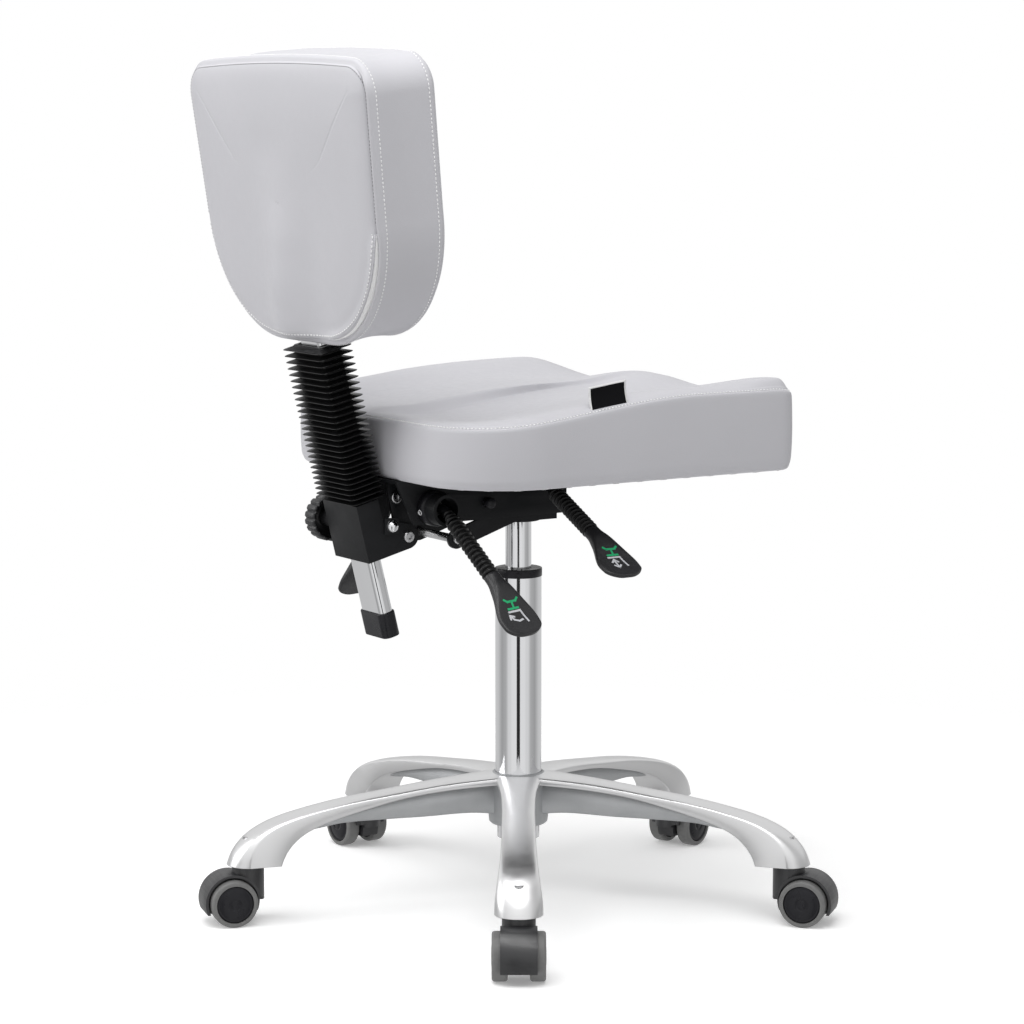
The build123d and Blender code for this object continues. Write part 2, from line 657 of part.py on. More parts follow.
def seat_section(x):
    """Closed outline across the seat at one place along X: flat below, crowned rims, thigh channels."""
    from_rear = x - SEAT_REAR
    from_front = SEAT_FRONT - x
    share = from_rear / (SEAT_FRONT - SEAT_REAR)
    half = SEAT_WIDTH / 2 - SEAT_DRAW * math.sin(math.pi * share)
    half -= corner_loss(from_rear, SEAT_REAR_CORNER) + corner_loss(from_front, SEAT_FRONT_CORNER)
    ease = smooth(min(from_rear, from_front) / SEAT_FRONT_CORNER)
    front = smooth((share - 0.45) / 0.45)
    fall = SEAT_FALL * smooth(1 - from_front / SEAT_FALL_RUN)
    side = SEAT_SIDE + SEAT_FRONT_RISE * smooth((from_rear - SEAT_RISE_START) / SEAT_RISE_RUN)
    seam = PLATE_TOP + side - SEAT_CROWN * (1 - ease) / 2
    rim = seam + SEAT_CROWN * (0.3 + 0.7 * ease) - fall / 4
    dip = smooth(share / 0.2)
    channel = rim - SEAT_SAG - dip * (SEAT_DISH * (1 - front) + SEAT_CHANNEL * front) - fall / 4
    centre = rim - SEAT_SAG - dip * (SEAT_DISH * (1 - front) + SEAT_POMMEL * front) - fall * 0.75
    foot = (half - SEAT_TUCK, PLATE_TOP)
    bulge = (half, PLATE_TOP + side * 0.45)
    edge = (half - SEAT_EDGE, seam)
    crest = (half - SEAT_ROLL, rim)
    inner = (half - SEAT_RIM, rim - SEAT_EDGE)
    low = (half * 0.46, channel)
    mound = (half * 0.2, centre - SEAT_EDGE / 2)
    arcs = [(foot, bulge, edge), (edge, crest, inner), (inner, low, mound)]
    mirror = [tuple((-y, z) for y, z in reversed(arc)) for arc in reversed(arcs)]
    arcs = arcs + [(mound, (0, centre), (-mound[0], mound[1]))] + mirror
    edges = [ThreePointArc(*[(x, y, z) for y, z in arc]) for arc in arcs]
    edges.append(Line((x, -foot[0], foot[1]), (x, foot[0], foot[1])))
    return Wire(edges)


def seat_stations():
    rear = [SEAT_REAR + SEAT_REAR_CORNER * (1 - math.cos(math.radians(a))) for a in range(0, 91, 15)]
    front = [SEAT_FRONT - SEAT_FRONT_CORNER * (1 - math.cos(math.radians(a))) for a in range(90, -1, -18)]
    step = (front[0] - rear[-1]) / SEAT_SPAN_COUNT
    return rear + [rear[-1] + step * i for i in range(1, SEAT_SPAN_COUNT)] + front


def seat_cushion():
    cushion = Solid.make_loft([seat_section(x) for x in seat_stations()], ruled=True)
    pocket = extrude(seat_outline(SEAT_BOARD_INSET - GAP), BOARD_THICKNESS + GAP + 1)
    return cushion - Pos(0, 0, PLATE_TOP - 1) * pocket


# Backrest
def back_outline(x, inset):
    """Outline of the backrest pad in its own frame: bowed top, drawn-in sides, large lower corners."""
    half = BACK_WIDTH / 2 - inset
    waist = half - BACK_TAPER
    top = BACK_HEIGHT - inset
    low = inset
    upper = max(BACK_TOP_CORNER - inset, BACK_TOP_CORNER / 4)
    lower = max(BACK_BOTTOM_CORNER - inset, BACK_BOTTOM_CORNER / 4)
    diagonal = 1 - math.sqrt(0.5)

    def at(y, z):
        return (x, y, z)

    def side(sign):
        return [
            ThreePointArc(
                at(sign * (waist - lower), low),
                at(sign * (waist - lower * diagonal), low + lower * diagonal),
                at(sign * waist, low + lower),
            ),
            Line(at(sign * waist, low + lower), at(sign * half, top - upper)),
            ThreePointArc(
                at(sign * half, top - upper),
                at(sign * (half - upper * diagonal), top - upper * diagonal),
                at(sign * (half - upper), top),
            ),
        ]

    crown = ThreePointArc(at(half - upper, top), at(0, top + BACK_TOP_BOW), at(upper - half, top))
    sole = Line(at(lower - waist, low), at(waist - lower, low))
    return Wire([sole] + side(1) + [crown] + side(-1))


def back_board():
    x0 = BLADE_COVER + BLADE_THICKNESS
    outline = make_face(back_outline(x0, BACK_BOARD_INSET))
    return BACK_FRAME * extrude(outline, BOARD_THICKNESS, dir=(1, 0, 0))


def back_cushion():
    front = BACK_THICKNESS
    sections = [
        (0, BACK_REAR_ROUND),
        (BACK_REAR_ROUND, 0),
        (front / 2, BACK_DRAW),
        (front - BACK_FRONT_ROUND, 0),
        (front - BACK_FRONT_ROUND / 4, BACK_FRONT_ROUND / 2),
        (front + BACK_CROWN / 2, BACK_SLOPE_INSET),
        (front + BACK_CROWN, BACK_FLAT_INSET),
    ]
    pad = BACK_FRAME * Solid.make_loft([back_outline(*section) for section in sections], ruled=True)
    x0 = BLADE_COVER + BLADE_THICKNESS
    pocket = make_face(back_outline(x0 - GAP, BACK_BOARD_INSET - GAP))
    pad -= BACK_FRAME * extrude(pocket, BOARD_THICKNESS + 2 * GAP, dir=(1, 0, 0))
    half = BAR_WIDTH / 2 + GAP
    pad -= BACK_FRAME * block(BLADE_COVER - GAP, x0, -half, half, -BLADE_THICKNESS, BLADE_LENGTH + GAP)
    depth = BAR_DEPTH / 2 + GAP
    pad -= BAR_FRAME * block(-depth, depth, -half, half, BELLOWS_TOP - GAP, BAR_ABOVE + GAP)
    return pad


def bar_section(grow):
    return RectangleRounded(BAR_DEPTH + 2 * grow, BAR_WIDTH + 2 * grow, BAR_ROUND + grow)


def back_bar():
    """Flat-oval tube with a blade at its upper end that the backrest board is screwed to."""
    length = BAR_BELOW + BAR_ABOVE
    tube = extrude(bar_section(0), length) - extrude(bar_section(-BAR_WALL), length)
    bar = BAR_FRAME * Pos(0, 0, -BAR_BELOW) * tube
    half = BAR_WIDTH / 2 - BAR_ROUND / 2
    x0 = BLADE_COVER
    bar += BACK_FRAME * block(x0, x0 + BLADE_THICKNESS, -half, half, 0, BLADE_LENGTH)
    return bar


def bar_end_cap():
    cap = extrude(bar_section(CAP_WALL), CAP_LENGTH)
    cap -= Pos(0, 0, CAP_WALL) * extrude(bar_section(RUN), CAP_LENGTH)
    return BAR_FRAME * Pos(0, 0, -BAR_BELOW - CAP_WALL) * cap


def clamp_place():
    """Height and place along X of the clamp screw, on the bar's axis."""
    lean = math.radians(BAR_LEAN)
    return BAR_X - CLAMP_LEVEL * math.sin(lean), BACK_PIVOT_Z + CLAMP_LEVEL * math.cos(lean)


def stop_place():
    return (BACK_PIVOT_X - CHEEK_RADIUS * 1.6, clamp_place()[1])


def back_bracket():
    depth = BAR_DEPTH / 2 + GAP
    half = BRACKET_WIDTH / 2
    slot = BAR_WIDTH / 2 + GAP
    wall = depth + BRACKET_WALL
    bracket = BAR_FRAME * block(-wall - BRACKET_HEEL, wall, -half, half, -BRACKET_BELOW, BRACKET_ABOVE)
    lean = math.radians(BAR_LEAN)
    foot = (BAR_X + BRACKET_BELOW * math.sin(lean), BACK_PIVOT_Z - BRACKET_BELOW * math.cos(lean))
    head = clamp_place()
    heel = Pos(foot[0], foot[1] + BRACKET_WALL) * Circle(BRACKET_WALL)
    shoulder = Pos(head[0], head[1] + CHEEK_RADIUS / 2) * Circle(BRACKET_WALL)
    cheek = plate_hull(disc_at(BACK_PIVOT_X, BACK_PIVOT_Z, CHEEK_RADIUS), heel, shoulder)
    for ends in both_sides(half - BRACKET_WALL, half):
        bracket += side_plate(cheek, *ends)
    x, z = stop_place()
    pad = STOP_PLATE / 2
    bracket += block(x - pad, x + pad, -half - BRACKET_WALL, -half, z - pad, z + pad)
    bracket -= BAR_FRAME * block(-depth, depth, -slot, slot, -BRACKET_BELOW - 9, BRACKET_ABOVE + 9)
    bracket -= crosswise(BOLT_DIAMETER / 2 + RUN, -half - 1, half + 1, BACK_PIVOT_X, BACK_PIVOT_Z)
    bracket -= crosswise(SCREW_DIAMETER / 2 + RUN, 0, half + 1, *clamp_place())
    return bracket


def bracket_bolts():
    """Two pivot bolts through the cheeks and the domed stop beside the bar."""
    half = BRACKET_WIDTH / 2
    bolts = []
    for side in (1, -1):
        shank = sorted((side * LUG_INNER, side * half))
        head = sorted((side * half, side * (half + BOLT_HEAD_HEIGHT)))
        bolt = crosswise(BOLT_DIAMETER / 2, *shank, BACK_PIVOT_X, BACK_PIVOT_Z)
        bolt += crosswise(BOLT_HEAD_DIAMETER / 2, *head, BACK_PIVOT_X, BACK_PIVOT_Z)
        bolts.append(bolt.solid())
    x, z = stop_place()
    face = -half - BRACKET_WALL
    dome = Pos(x, face, z) * Sphere(STOP_DOME) & block(
        x - STOP_DOME, x + STOP_DOME, face - STOP_DOME, face, z - STOP_DOME, z + STOP_DOME
    )
    bolts.append(dome.solid())
    return Compound(children=bolts)


def clamp_screw():
    start = BAR_WIDTH / 2 + GAP
    end = BRACKET_WIDTH / 2 + KNOB_STANDOFF + KNOB_LENGTH * 0.6
    return crosswise(SCREW_DIAMETER / 2, start, end, *clamp_place())


def clamp_knob():
    x, z = clamp_place()
    start = BRACKET_WIDTH / 2 + KNOB_STANDOFF
    neck = KNOB_LENGTH * 0.4
    radius = KNOB_DIAMETER / 2
    knob = Pos(x, start + neck / 2, z) * Rot(-90, 0, 0) * Cone(radius * 0.55, radius * 0.9, neck)
    knob += crosswise(radius, start + neck, start + KNOB_LENGTH, x, z)
    for index in range(KNOB_FLUTES):
        angle = math.radians(index * 360 / KNOB_FLUTES)
        place = (x + radius * math.cos(angle), z + radius * math.sin(angle))
        knob -= crosswise(KNOB_FLUTE_RADIUS, start + neck - 1, start + KNOB_LENGTH + 1, *place)
    return knob - crosswise(SCREW_DIAMETER / 2 + RUN, start - 1, start + KNOB_LENGTH * 0.6 + GAP, x, z)


def bellows():
    """Pleated hose over the bar: each pleat runs through a valley, two crests and a valley."""
    length = BELLOWS_TOP - BRACKET_ABOVE
    pitch = length / BELLOWS_RIBS
    fold = 2 * BELLOWS_FOLD
    valley = (BELLOWS_DEPTH - fold, BELLOWS_WIDTH - fold, BELLOWS_CORNER / 2)
    crest = (BELLOWS_DEPTH, BELLOWS_WIDTH, BELLOWS_CORNER)
    wires = []
    for index in range(BELLOWS_RIBS):
        for share, size in ((0.0, valley), (0.42, crest), (0.58, crest), (1.0, valley)):
            if share == 0.0 and index > 0:
                continue
            wires.append((Pos(0, 0, (index + share) * pitch) * RectangleRounded(*size)).wire())
    hose = Solid.make_loft(wires, ruled=True)
    bore = extrude(bar_section(BELLOWS_CLEARANCE), length)
    return BAR_FRAME * Pos(0, 0, BRACKET_ABOVE) * (hose - bore)


def bellows_top():
    """Length along the bar at which the bellows meets the underside of the backrest pad."""
    lean = math.radians(BAR_LEAN)
    tilt = math.radians(BACK_LEAN)
    dx = BAR_X - BACK_FACE_X
    dz = BACK_PIVOT_Z - BACK_BOTTOM_Z
    rise = math.cos(lean) * math.cos(tilt) + math.sin(lean) * math.sin(tilt)
    reach = (dx * math.sin(tilt) - dz * math.cos(tilt)) / rise
    return reach - BELLOWS_DEPTH / 2 * math.tan(lean - tilt) - GAP


# Levers
def lever_frame(lever):
    """Frame at a lever's bend: Z out along the sloping stretch, X forward."""
    drop = math.radians(lever["drop"])
    sweep = math.radians(lever["sweep"])
    direction = Vector(
        math.cos(drop) * math.sin(sweep),
        lever["side"] * math.cos(drop) * math.cos(sweep),
        -math.sin(drop),
    )
    origin = Vector(lever["x"], lever["side"] * lever["bend"], lever["z"])
    forward = Vector(1, 0, 0) - direction * direction.X
    return Plane(origin=origin, x_dir=forward, z_dir=direction)


def lever_rod(lever):
    frame = lever_frame(lever)
    start = Vector(lever["x"], lever["side"] * lever["inner"], lever["z"])
    out = SLEEVE_START + SLEEVE_RIBS * SLEEVE_PITCH + PADDLE_GRIP - GAP
    end = frame.origin + frame.z_dir * out
    path = FilletPolyline(start, frame.origin, end, radius=LEVER_BEND_RADIUS)
    section = Plane(origin=start, z_dir=path % 0) * Circle(LEVER_DIAMETER / 2)
    rod = sweep(section, path)
    return rod + lever_pivot(lever, LEVER_PIVOT_DIAMETER / 2, LEVER_PIVOT_LENGTH)


def lever_sleeve(lever):
    """Ribbed hose over the sloping stretch of a lever's rod."""
    crest = SLEEVE_DIAMETER / 2
    valley = crest - SLEEVE_FOLD
    wires = []
    for index in range(SLEEVE_RIBS):
        for share, radius in ((0.0, valley), (0.3, crest), (0.7, crest), (1.0, valley)):
            if share == 0.0 and index > 0:
                continue
            wires.append((Pos(0, 0, (index + share) * SLEEVE_PITCH) * Circle(radius)).wire())
    hose = Solid.make_loft(wires, ruled=True)
    hose -= extrude(Circle(LEVER_DIAMETER / 2 + RUN), SLEEVE_RIBS * SLEEVE_PITCH)
    return lever_frame(lever).location * Pos(0, 0, SLEEVE_START) * hose


def lever_paddle(lever):
    wide = PADDLE_WIDTH / 2
    neck = PADDLE_NECK / 2
    blade = plate_hull(disc_at(0, PADDLE_LENGTH - wide, wide), disc_at(0, neck, neck))
    paddle = side_plate(blade, -PADDLE_THICKNESS / 2, PADDLE_THICKNESS / 2)
    paddle = fillet(paddle.faces().filter_by(Axis.Y).edges(), PADDLE_ROUND)
    paddle += upright(neck, 0, PADDLE_GRIP + neck)
    paddle -= upright(LEVER_DIAMETER / 2 + RUN, -1, PADDLE_GRIP)
    start = SLEEVE_START + SLEEVE_RIBS * SLEEVE_PITCH
    return lever_frame(lever).location * Pos(0, 0, start) * paddle


BELLOWS_TOP = bellows_top()
BAR_ABOVE = BELLOWS_TOP + BAR_TUCK


def main():
    os.makedirs("parts", exist_ok=True)
    make_casters()
    save("base_star", base_star())
    save("column_tube", column_tube())
    save("guide_bush", guide_bush())
    save("thrust_bearing", thrust_bearing())
    save("piston_rod", piston_rod())
    save("gas_cylinder", gas_cylinder())
    save("tilt_housing", tilt_housing())
    save("tilt_pins", tilt_pins())
    save("seat_plate", seat_plate())
    save("seat_bolts", seat_bolts())
    save("seat_board", seat_board())
    save("seat_cushion", seat_cushion())
    save("back_bracket", back_bracket())
    save("bracket_bolts", bracket_bolts())
    save("clamp_screw", clamp_screw())
    save("clamp_knob", clamp_knob())
    save("back_bar", back_bar())
    save("bar_end_cap", bar_end_cap())
    save("bellows", bellows())
    save("back_board", back_board())
    save("back_cushion", back_cushion())
    for name, lever in LEVERS.items():
        save(f"{name}_lever_rod", lever_rod(lever))
        save(f"{name}_lever_sleeve", lever_sleeve(lever))
        save(f"{name}_lever_paddle", lever_paddle(lever))


main()
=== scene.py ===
import math

import bmesh
import bpy
import numpy as np
from mathutils import Matrix, Vector
from mathutils.bvhtree import BVHTree


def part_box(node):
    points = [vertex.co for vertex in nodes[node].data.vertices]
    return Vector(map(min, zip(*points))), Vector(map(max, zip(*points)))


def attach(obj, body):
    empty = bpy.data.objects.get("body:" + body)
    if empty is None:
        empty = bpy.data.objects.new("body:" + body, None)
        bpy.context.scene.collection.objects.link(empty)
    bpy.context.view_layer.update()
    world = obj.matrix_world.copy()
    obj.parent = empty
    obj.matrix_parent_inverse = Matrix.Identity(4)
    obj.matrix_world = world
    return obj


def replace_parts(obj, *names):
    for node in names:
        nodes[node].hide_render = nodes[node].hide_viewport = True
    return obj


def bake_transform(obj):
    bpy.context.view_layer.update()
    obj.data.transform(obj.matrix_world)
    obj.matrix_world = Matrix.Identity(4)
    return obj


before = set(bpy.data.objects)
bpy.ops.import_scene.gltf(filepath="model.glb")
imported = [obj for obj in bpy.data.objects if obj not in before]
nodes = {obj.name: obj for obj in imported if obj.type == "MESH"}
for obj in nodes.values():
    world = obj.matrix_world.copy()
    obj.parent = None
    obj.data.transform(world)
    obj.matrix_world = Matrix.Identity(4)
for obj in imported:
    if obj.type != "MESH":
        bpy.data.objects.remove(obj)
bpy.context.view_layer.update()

# Levels and places that the pieces share, in metres
PLATE_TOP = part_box("seat_plate")[1].z
PLATE_UNDER = PLATE_TOP - 0.003
BOARD_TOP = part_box("seat_board")[1].z
TILT_PIVOT = Vector((0.011, 0.0, PLATE_TOP - 0.032))
BACK_PIVOT = Vector((-0.160, 0.0, PLATE_TOP - 0.062))
BAR_LEAN = math.radians(14.0)
BACK_LEAN = math.radians(7.0)
BAR_FRAME = Matrix.Translation((-0.197, 0.0, BACK_PIVOT.z)) @ Matrix.Rotation(-BAR_LEAN, 4, "Y")
BACK_FRAME = Matrix.Translation((-0.263, 0.0, 0.620)) @ Matrix.Rotation(-BACK_LEAN, 4, "Y")
CLAMP = BAR_FRAME @ Vector((0.0, 0.0, 0.013))
ARM_COUNT = 5
ARM_TURN = math.radians(21.0)
# Heading of the photo's camera
PHOTO_TURN = math.radians(33.1)
LEFT = Vector((0.0, 1.0, 0.0))
RIGHT = Vector((0.0, -1.0, 0.0))
DOWN = Vector((0.0, 0.0, -1.0))


def smooth(share):
    share = np.clip(share, 0.0, 1.0)
    return share * share * (3.0 - 2.0 * share)


# Finishes
class Finish:
    """A procedural material that is built node by node on Object coordinates."""

    def __init__(self, name, colour, rough, metal=0.0):
        self.material = bpy.data.materials.new(name)
        self.material.use_nodes = True
        self.tree = self.material.node_tree
        self.shader = self.tree.nodes["Principled BSDF"]
        self.place = self.node("ShaderNodeTexCoord").outputs["Object"]
        self.shader.inputs["Base Color"].default_value = (*colour, 1.0)
        self.shader.inputs["Roughness"].default_value = rough
        self.shader.inputs["Metallic"].default_value = metal

    def node(self, kind, **settings):
        made = self.tree.nodes.new(kind)
        for key, value in settings.items():
            if key in made.inputs:
                made.inputs[key].default_value = value
            else:
                setattr(made, key, value)
        return made

    def link(self, output, entry):
        self.tree.links.new(output, entry)

    def stretch(self, scale):
        mapping = self.node("ShaderNodeMapping", Scale=scale)
        self.link(self.place, mapping.inputs["Vector"])
        return mapping.outputs["Vector"]

    def noise(self, scale, detail=3.0, place=None):
        made = self.node("ShaderNodeTexNoise", Scale=scale, Detail=detail)
        self.link(place or self.place, made.inputs["Vector"])
        return made.outputs["Fac"]

    def cells(self, scale, feature):
        made = self.node("ShaderNodeTexVoronoi", Scale=scale, feature=feature)
        self.link(self.place, made.inputs["Vector"])
        return made.outputs["Distance"]

    def bands(self, scale, direction, distortion=0.0):
        made = self.node("ShaderNodeTexWave", Scale=scale, Distortion=distortion, bands_direction=direction)
        self.link(self.place, made.inputs["Vector"])
        return made.outputs["Fac"]

    def spread(self, value, low, high, start=0.0, end=1.0):
        made = self.node("ShaderNodeMapRange")
        made.inputs["From Min"].default_value = start
        made.inputs["From Max"].default_value = end
        made.inputs["To Min"].default_value = low
        made.inputs["To Max"].default_value = high
        self.link(value, made.inputs["Value"])
        return made.outputs["Result"]

    def maths(self, operation, first, second):
        made = self.node("ShaderNodeMath", operation=operation)
        for entry, value in zip(made.inputs, (first, second)):
            if isinstance(value, (int, float)):
                entry.default_value = value
            else:
                self.link(value, entry)
        return made.outputs[0]

    def mix(self, share, first, second):
        made = self.node("ShaderNodeMix", data_type="RGBA")
        self.link(share, made.inputs[0])
        for entry, value in ((made.inputs[6], first), (made.inputs[7], second)):
            if isinstance(value, tuple):
                entry.default_value = (*value, 1.0)
            else:
                self.link(value, entry)
        return made.outputs[2]

    def colour(self, output):
        self.link(output, self.shader.inputs["Base Color"])

    def rough(self, output):
        self.link(output, self.shader.inputs["Roughness"])

    def bump(self, height, depth, strength=1.0):
        made = self.node("ShaderNodeBump", Strength=strength, Distance=depth)
        if self.shader.inputs["Normal"].links:
            self.link(self.shader.inputs["Normal"].links[0].from_socket, made.inputs["Normal"])
        self.link(height, made.inputs["Height"])
        self.link(made.outputs["Normal"], self.shader.inputs["Normal"])

    def set(self, **sockets):
        for name, value in sockets.items():
            self.shader.inputs[name.replace("_", " ")].default_value = value
        return self


def leatherette():
    tone = (0.520, 0.517, 0.545)
    made = Finish("light_grey_leatherette", tone, 0.46)
    made.set(Specular_IOR_Level=0.32, Sheen_Weight=0.06, Sheen_Roughness=0.4)
    pebbles = made.cells(950.0, "SMOOTH_F1")
    creases = made.cells(520.0, "DISTANCE_TO_EDGE")
    cloud = made.noise(9.0, 2.0)
    made.colour(made.mix(cloud, tuple(0.965 * c for c in tone), tuple(1.03 * c for c in tone)))
    made.rough(made.spread(made.noise(140.0, 4.0), 0.40, 0.54, 0.3, 0.7))
    made.bump(pebbles, 0.00022, 0.30)
    made.bump(made.spread(creases, 0.0, 1.0, 0.0, 0.25), 0.00010, 0.22)
    made.bump(cloud, 0.0030, 0.10)
    return made.material


def thread(name, colour):
    made = Finish(name, colour, 0.62)
    made.set(Sheen_Weight=0.25)
    twist = made.bands(1900.0, "DIAGONAL", 1.0)
    made.colour(made.mix(twist, tuple(0.82 * c for c in colour), colour))
    made.bump(twist, 0.0001, 0.5)
    return made.material


def chrome():
    made = Finish("mirror_chrome", (0.80, 0.805, 0.82), 0.06, 1.0)
    smear = made.noise(22.0, 4.0, made.stretch((1.0, 1.0, 0.25)))
    made.rough(made.spread(smear, 0.035, 0.105, 0.3, 0.7))
    made.colour(made.mix(smear, (0.76, 0.765, 0.78), (0.84, 0.845, 0.86)))
    made.bump(made.noise(1400.0, 2.0), 0.00002, 0.15)
    return made.material


def polished_aluminium():
    made = Finish("polished_aluminium", (0.78, 0.78, 0.785), 0.3, 1.0)
    streak = made.noise(260.0, 3.0, made.stretch((0.35, 0.35, 1.6)))
    haze = made.noise(14.0, 3.0)
    made.rough(made.maths("ADD", made.spread(streak, 0.25, 0.31, 0.3, 0.7), made.spread(haze, 0.0, 0.08)))
    made.colour(made.mix(haze, (0.75, 0.75, 0.755), (0.82, 0.82, 0.825)))
    made.bump(haze, 0.0002, 0.1)
    return made.material


def sand_cast():
    made = Finish("sand_cast_aluminium", (0.33, 0.34, 0.35), 0.5, 0.75)
    grit = made.noise(1500.0, 5.0)
    patch = made.noise(30.0, 3.0)
    made.colour(made.mix(patch, (0.42, 0.43, 0.44), (0.55, 0.56, 0.57)))
    made.rough(made.spread(grit, 0.42, 0.6, 0.3, 0.7))
    made.bump(grit, 0.0003, 0.45)
    return made.material


def powder_coat():
    made = Finish("black_powder_coat", (0.010, 0.0105, 0.0115), 0.42)
    made.set(Specular_IOR_Level=0.18)
    peel = made.noise(900.0, 3.0)
    dust = made.noise(45.0, 5.0)
    made.colour(made.mix(dust, (0.0085, 0.009, 0.010), (0.0135, 0.014, 0.0155)))
    made.rough(made.spread(dust, 0.34, 0.5, 0.3, 0.7))
    made.bump(peel, 0.00025, 0.35)
    return made.material


def grained_plastic(name, colour, rough, specular, tones, shine):
    made = Finish(name, colour, rough)
    made.set(Specular_IOR_Level=specular)
    grain = made.cells(1250.0, "SMOOTH_F1")
    worn = made.noise(60.0, 5.0)
    made.colour(made.mix(worn, *tones))
    made.rough(made.spread(worn, *shine, 0.3, 0.7))
    made.bump(grain, 0.00025, 0.4)
    return made.material


def smooth_plastic():
    made = Finish("smooth_black_plastic", (0.012, 0.012, 0.0145), 0.3)
    made.set(Specular_IOR_Level=0.24)
    film = made.noise(80.0, 4.0)
    made.colour(made.mix(film, (0.010, 0.010, 0.0125), (0.015, 0.015, 0.018)))
    made.rough(made.spread(film, 0.24, 0.4, 0.3, 0.7))
    made.bump(made.noise(1600.0, 2.0), 0.00008, 0.25)
    return made.material


def pleat_rubber():
    made = Finish("black_pleat_rubber", (0.005, 0.005, 0.0055), 0.34)
    made.set(Specular_IOR_Level=0.30)
    bloom = made.noise(120.0, 4.0)
    made.colour(made.mix(bloom, (0.004, 0.004, 0.0045), (0.008, 0.008, 0.0085)))
    made.rough(made.spread(bloom, 0.28, 0.44, 0.3, 0.7))
    made.bump(made.noise(1300.0, 3.0), 0.00012, 0.3)
    return made.material


def tread_rubber():
    made = Finish("grey_tread", (0.105, 0.107, 0.110), 0.5)
    scuff = made.noise(240.0, 5.0)
    made.colour(made.mix(scuff, (0.115, 0.115, 0.113), (0.165, 0.165, 0.163)))
    made.rough(made.spread(scuff, 0.42, 0.62, 0.3, 0.7))
    made.bump(made.noise(900.0, 3.0), 0.0002, 0.3)
    return made.material


def bright_steel():
    made = Finish("bright_steel", (0.62, 0.62, 0.63), 0.26, 1.0)
    lathe = made.noise(700.0, 3.0, made.stretch((1.0, 0.2, 1.0)))
    made.rough(made.spread(lathe, 0.18, 0.34, 0.3, 0.7))
    made.colour(made.mix(lathe, (0.55, 0.55, 0.56), (0.70, 0.70, 0.71)))
    made.bump(lathe, 0.00005, 0.25)
    return made.material


def brass():
    made = Finish("brass", (0.72, 0.47, 0.16), 0.28, 1.0)
    tarnish = made.noise(300.0, 4.0)
    made.colour(made.mix(tarnish, (0.60, 0.37, 0.11), (0.80, 0.55, 0.22)))
    made.rough(made.spread(tarnish, 0.2, 0.4))
    return made.material


def lined_board():
    """Plywood edges and top, with black lining cloth on the underside."""
    made = Finish("lined_plywood", (0.50, 0.36, 0.22), 0.6)
    ply = made.bands(105.0, "Z", 0.6)
    grain = made.noise(60.0, 6.0, made.stretch((0.12, 1.0, 1.0)))
    wood = made.mix(ply, (0.56, 0.41, 0.26), (0.36, 0.24, 0.14))
    wood = made.mix(grain, wood, (0.47, 0.34, 0.21))
    fibres = made.noise(2200.0, 5.0)
    cloth = made.mix(fibres, (0.006, 0.006, 0.007), (0.028, 0.028, 0.030))
    split = made.node("ShaderNodeSeparateXYZ")
    made.link(made.node("ShaderNodeNewGeometry").outputs["Normal"], split.inputs[0])
    below = made.maths("LESS_THAN", split.outputs["Z"], -0.5)
    made.colour(made.mix(below, wood, cloth))
    made.rough(made.spread(below, 0.6, 0.95))
    made.bump(fibres, 0.0003, 0.4)
    return made.material


def woven(name, colour, sheen=0.3):
    made = Finish(name, colour, 0.8)
    made.set(Sheen_Weight=sheen, Specular_IOR_Level=0.1)
    warp = made.bands(1500.0, "X")
    weft = made.bands(1500.0, "Z")
    weave = made.maths("MULTIPLY", warp, weft)
    made.colour(made.mix(weave, tuple(0.9 * c for c in colour), colour))
    made.bump(weave, 0.0002, 0.6)
    return made.material


def print_ink(name, colour):
    made = Finish(name, colour, 0.45)
    speck = made.noise(1800.0, 3.0)
    made.colour(made.mix(speck, tuple(0.85 * c for c in colour), colour))
    return made.material


LEATHER = leatherette()
PALE_THREAD = thread("pale_thread", (0.96, 0.96, 0.96))
# Grey thread for the rear seam's stitches, dark to paint the shade of the seam's crease
SEAM_SHADE_THREAD = thread("grey_seam_shade_thread", (0.20, 0.20, 0.21))
CHROME = chrome()
ALUMINIUM = polished_aluminium()
CAST = sand_cast()
POWDER = powder_coat()
GRAINED = grained_plastic(
    "grained_black_plastic", (0.018, 0.018, 0.0195), rough=0.48, specular=0.45,
    tones=((0.014, 0.014, 0.0155), (0.024, 0.024, 0.026)), shine=(0.34, 0.48),
)
SATIN = grained_plastic(
    "satin_black_plastic", (0.014, 0.014, 0.016), rough=0.34, specular=0.75,
    tones=((0.011, 0.011, 0.0125), (0.018, 0.018, 0.020)), shine=(0.32, 0.44),
)
SMOOTH = smooth_plastic()
RUBBER = pleat_rubber()
TREAD = tread_rubber()
STEEL = bright_steel()
BRASS = brass()
BOARD = lined_board()
LABEL = woven("black_label", (0.004, 0.004, 0.005), 0.0)
LINING = woven("white_lining", (0.98, 0.98, 0.98))
WHITE_INK = print_ink("white_ink", (0.62, 0.63, 0.66))
GREEN_INK = print_ink("green_ink", (0.01, 0.42, 0.16))


# Mesh helpers
def piece(name, points, faces, material, recalculate=True, flat=False):
    """A new mesh object from points and faces, with its faces pointing outwards."""
    mesh = bpy.data.meshes.new(name)
    mesh.from_pydata([tuple(p) for p in points], [], faces)
    if recalculate:
        work = bmesh.new()
        work.from_mesh(mesh)
        bmesh.ops.remove_doubles(work, verts=work.verts, dist=1e-7)
        bmesh.ops.recalc_face_normals(work, faces=work.faces)
        work.to_mesh(mesh)
        work.free()
    mesh.materials.append(material)
    mesh.shade_flat() if flat else mesh.shade_smooth()
    made = bpy.data.objects.new(name, mesh)
    bpy.context.scene.collection.objects.link(made)
    return made


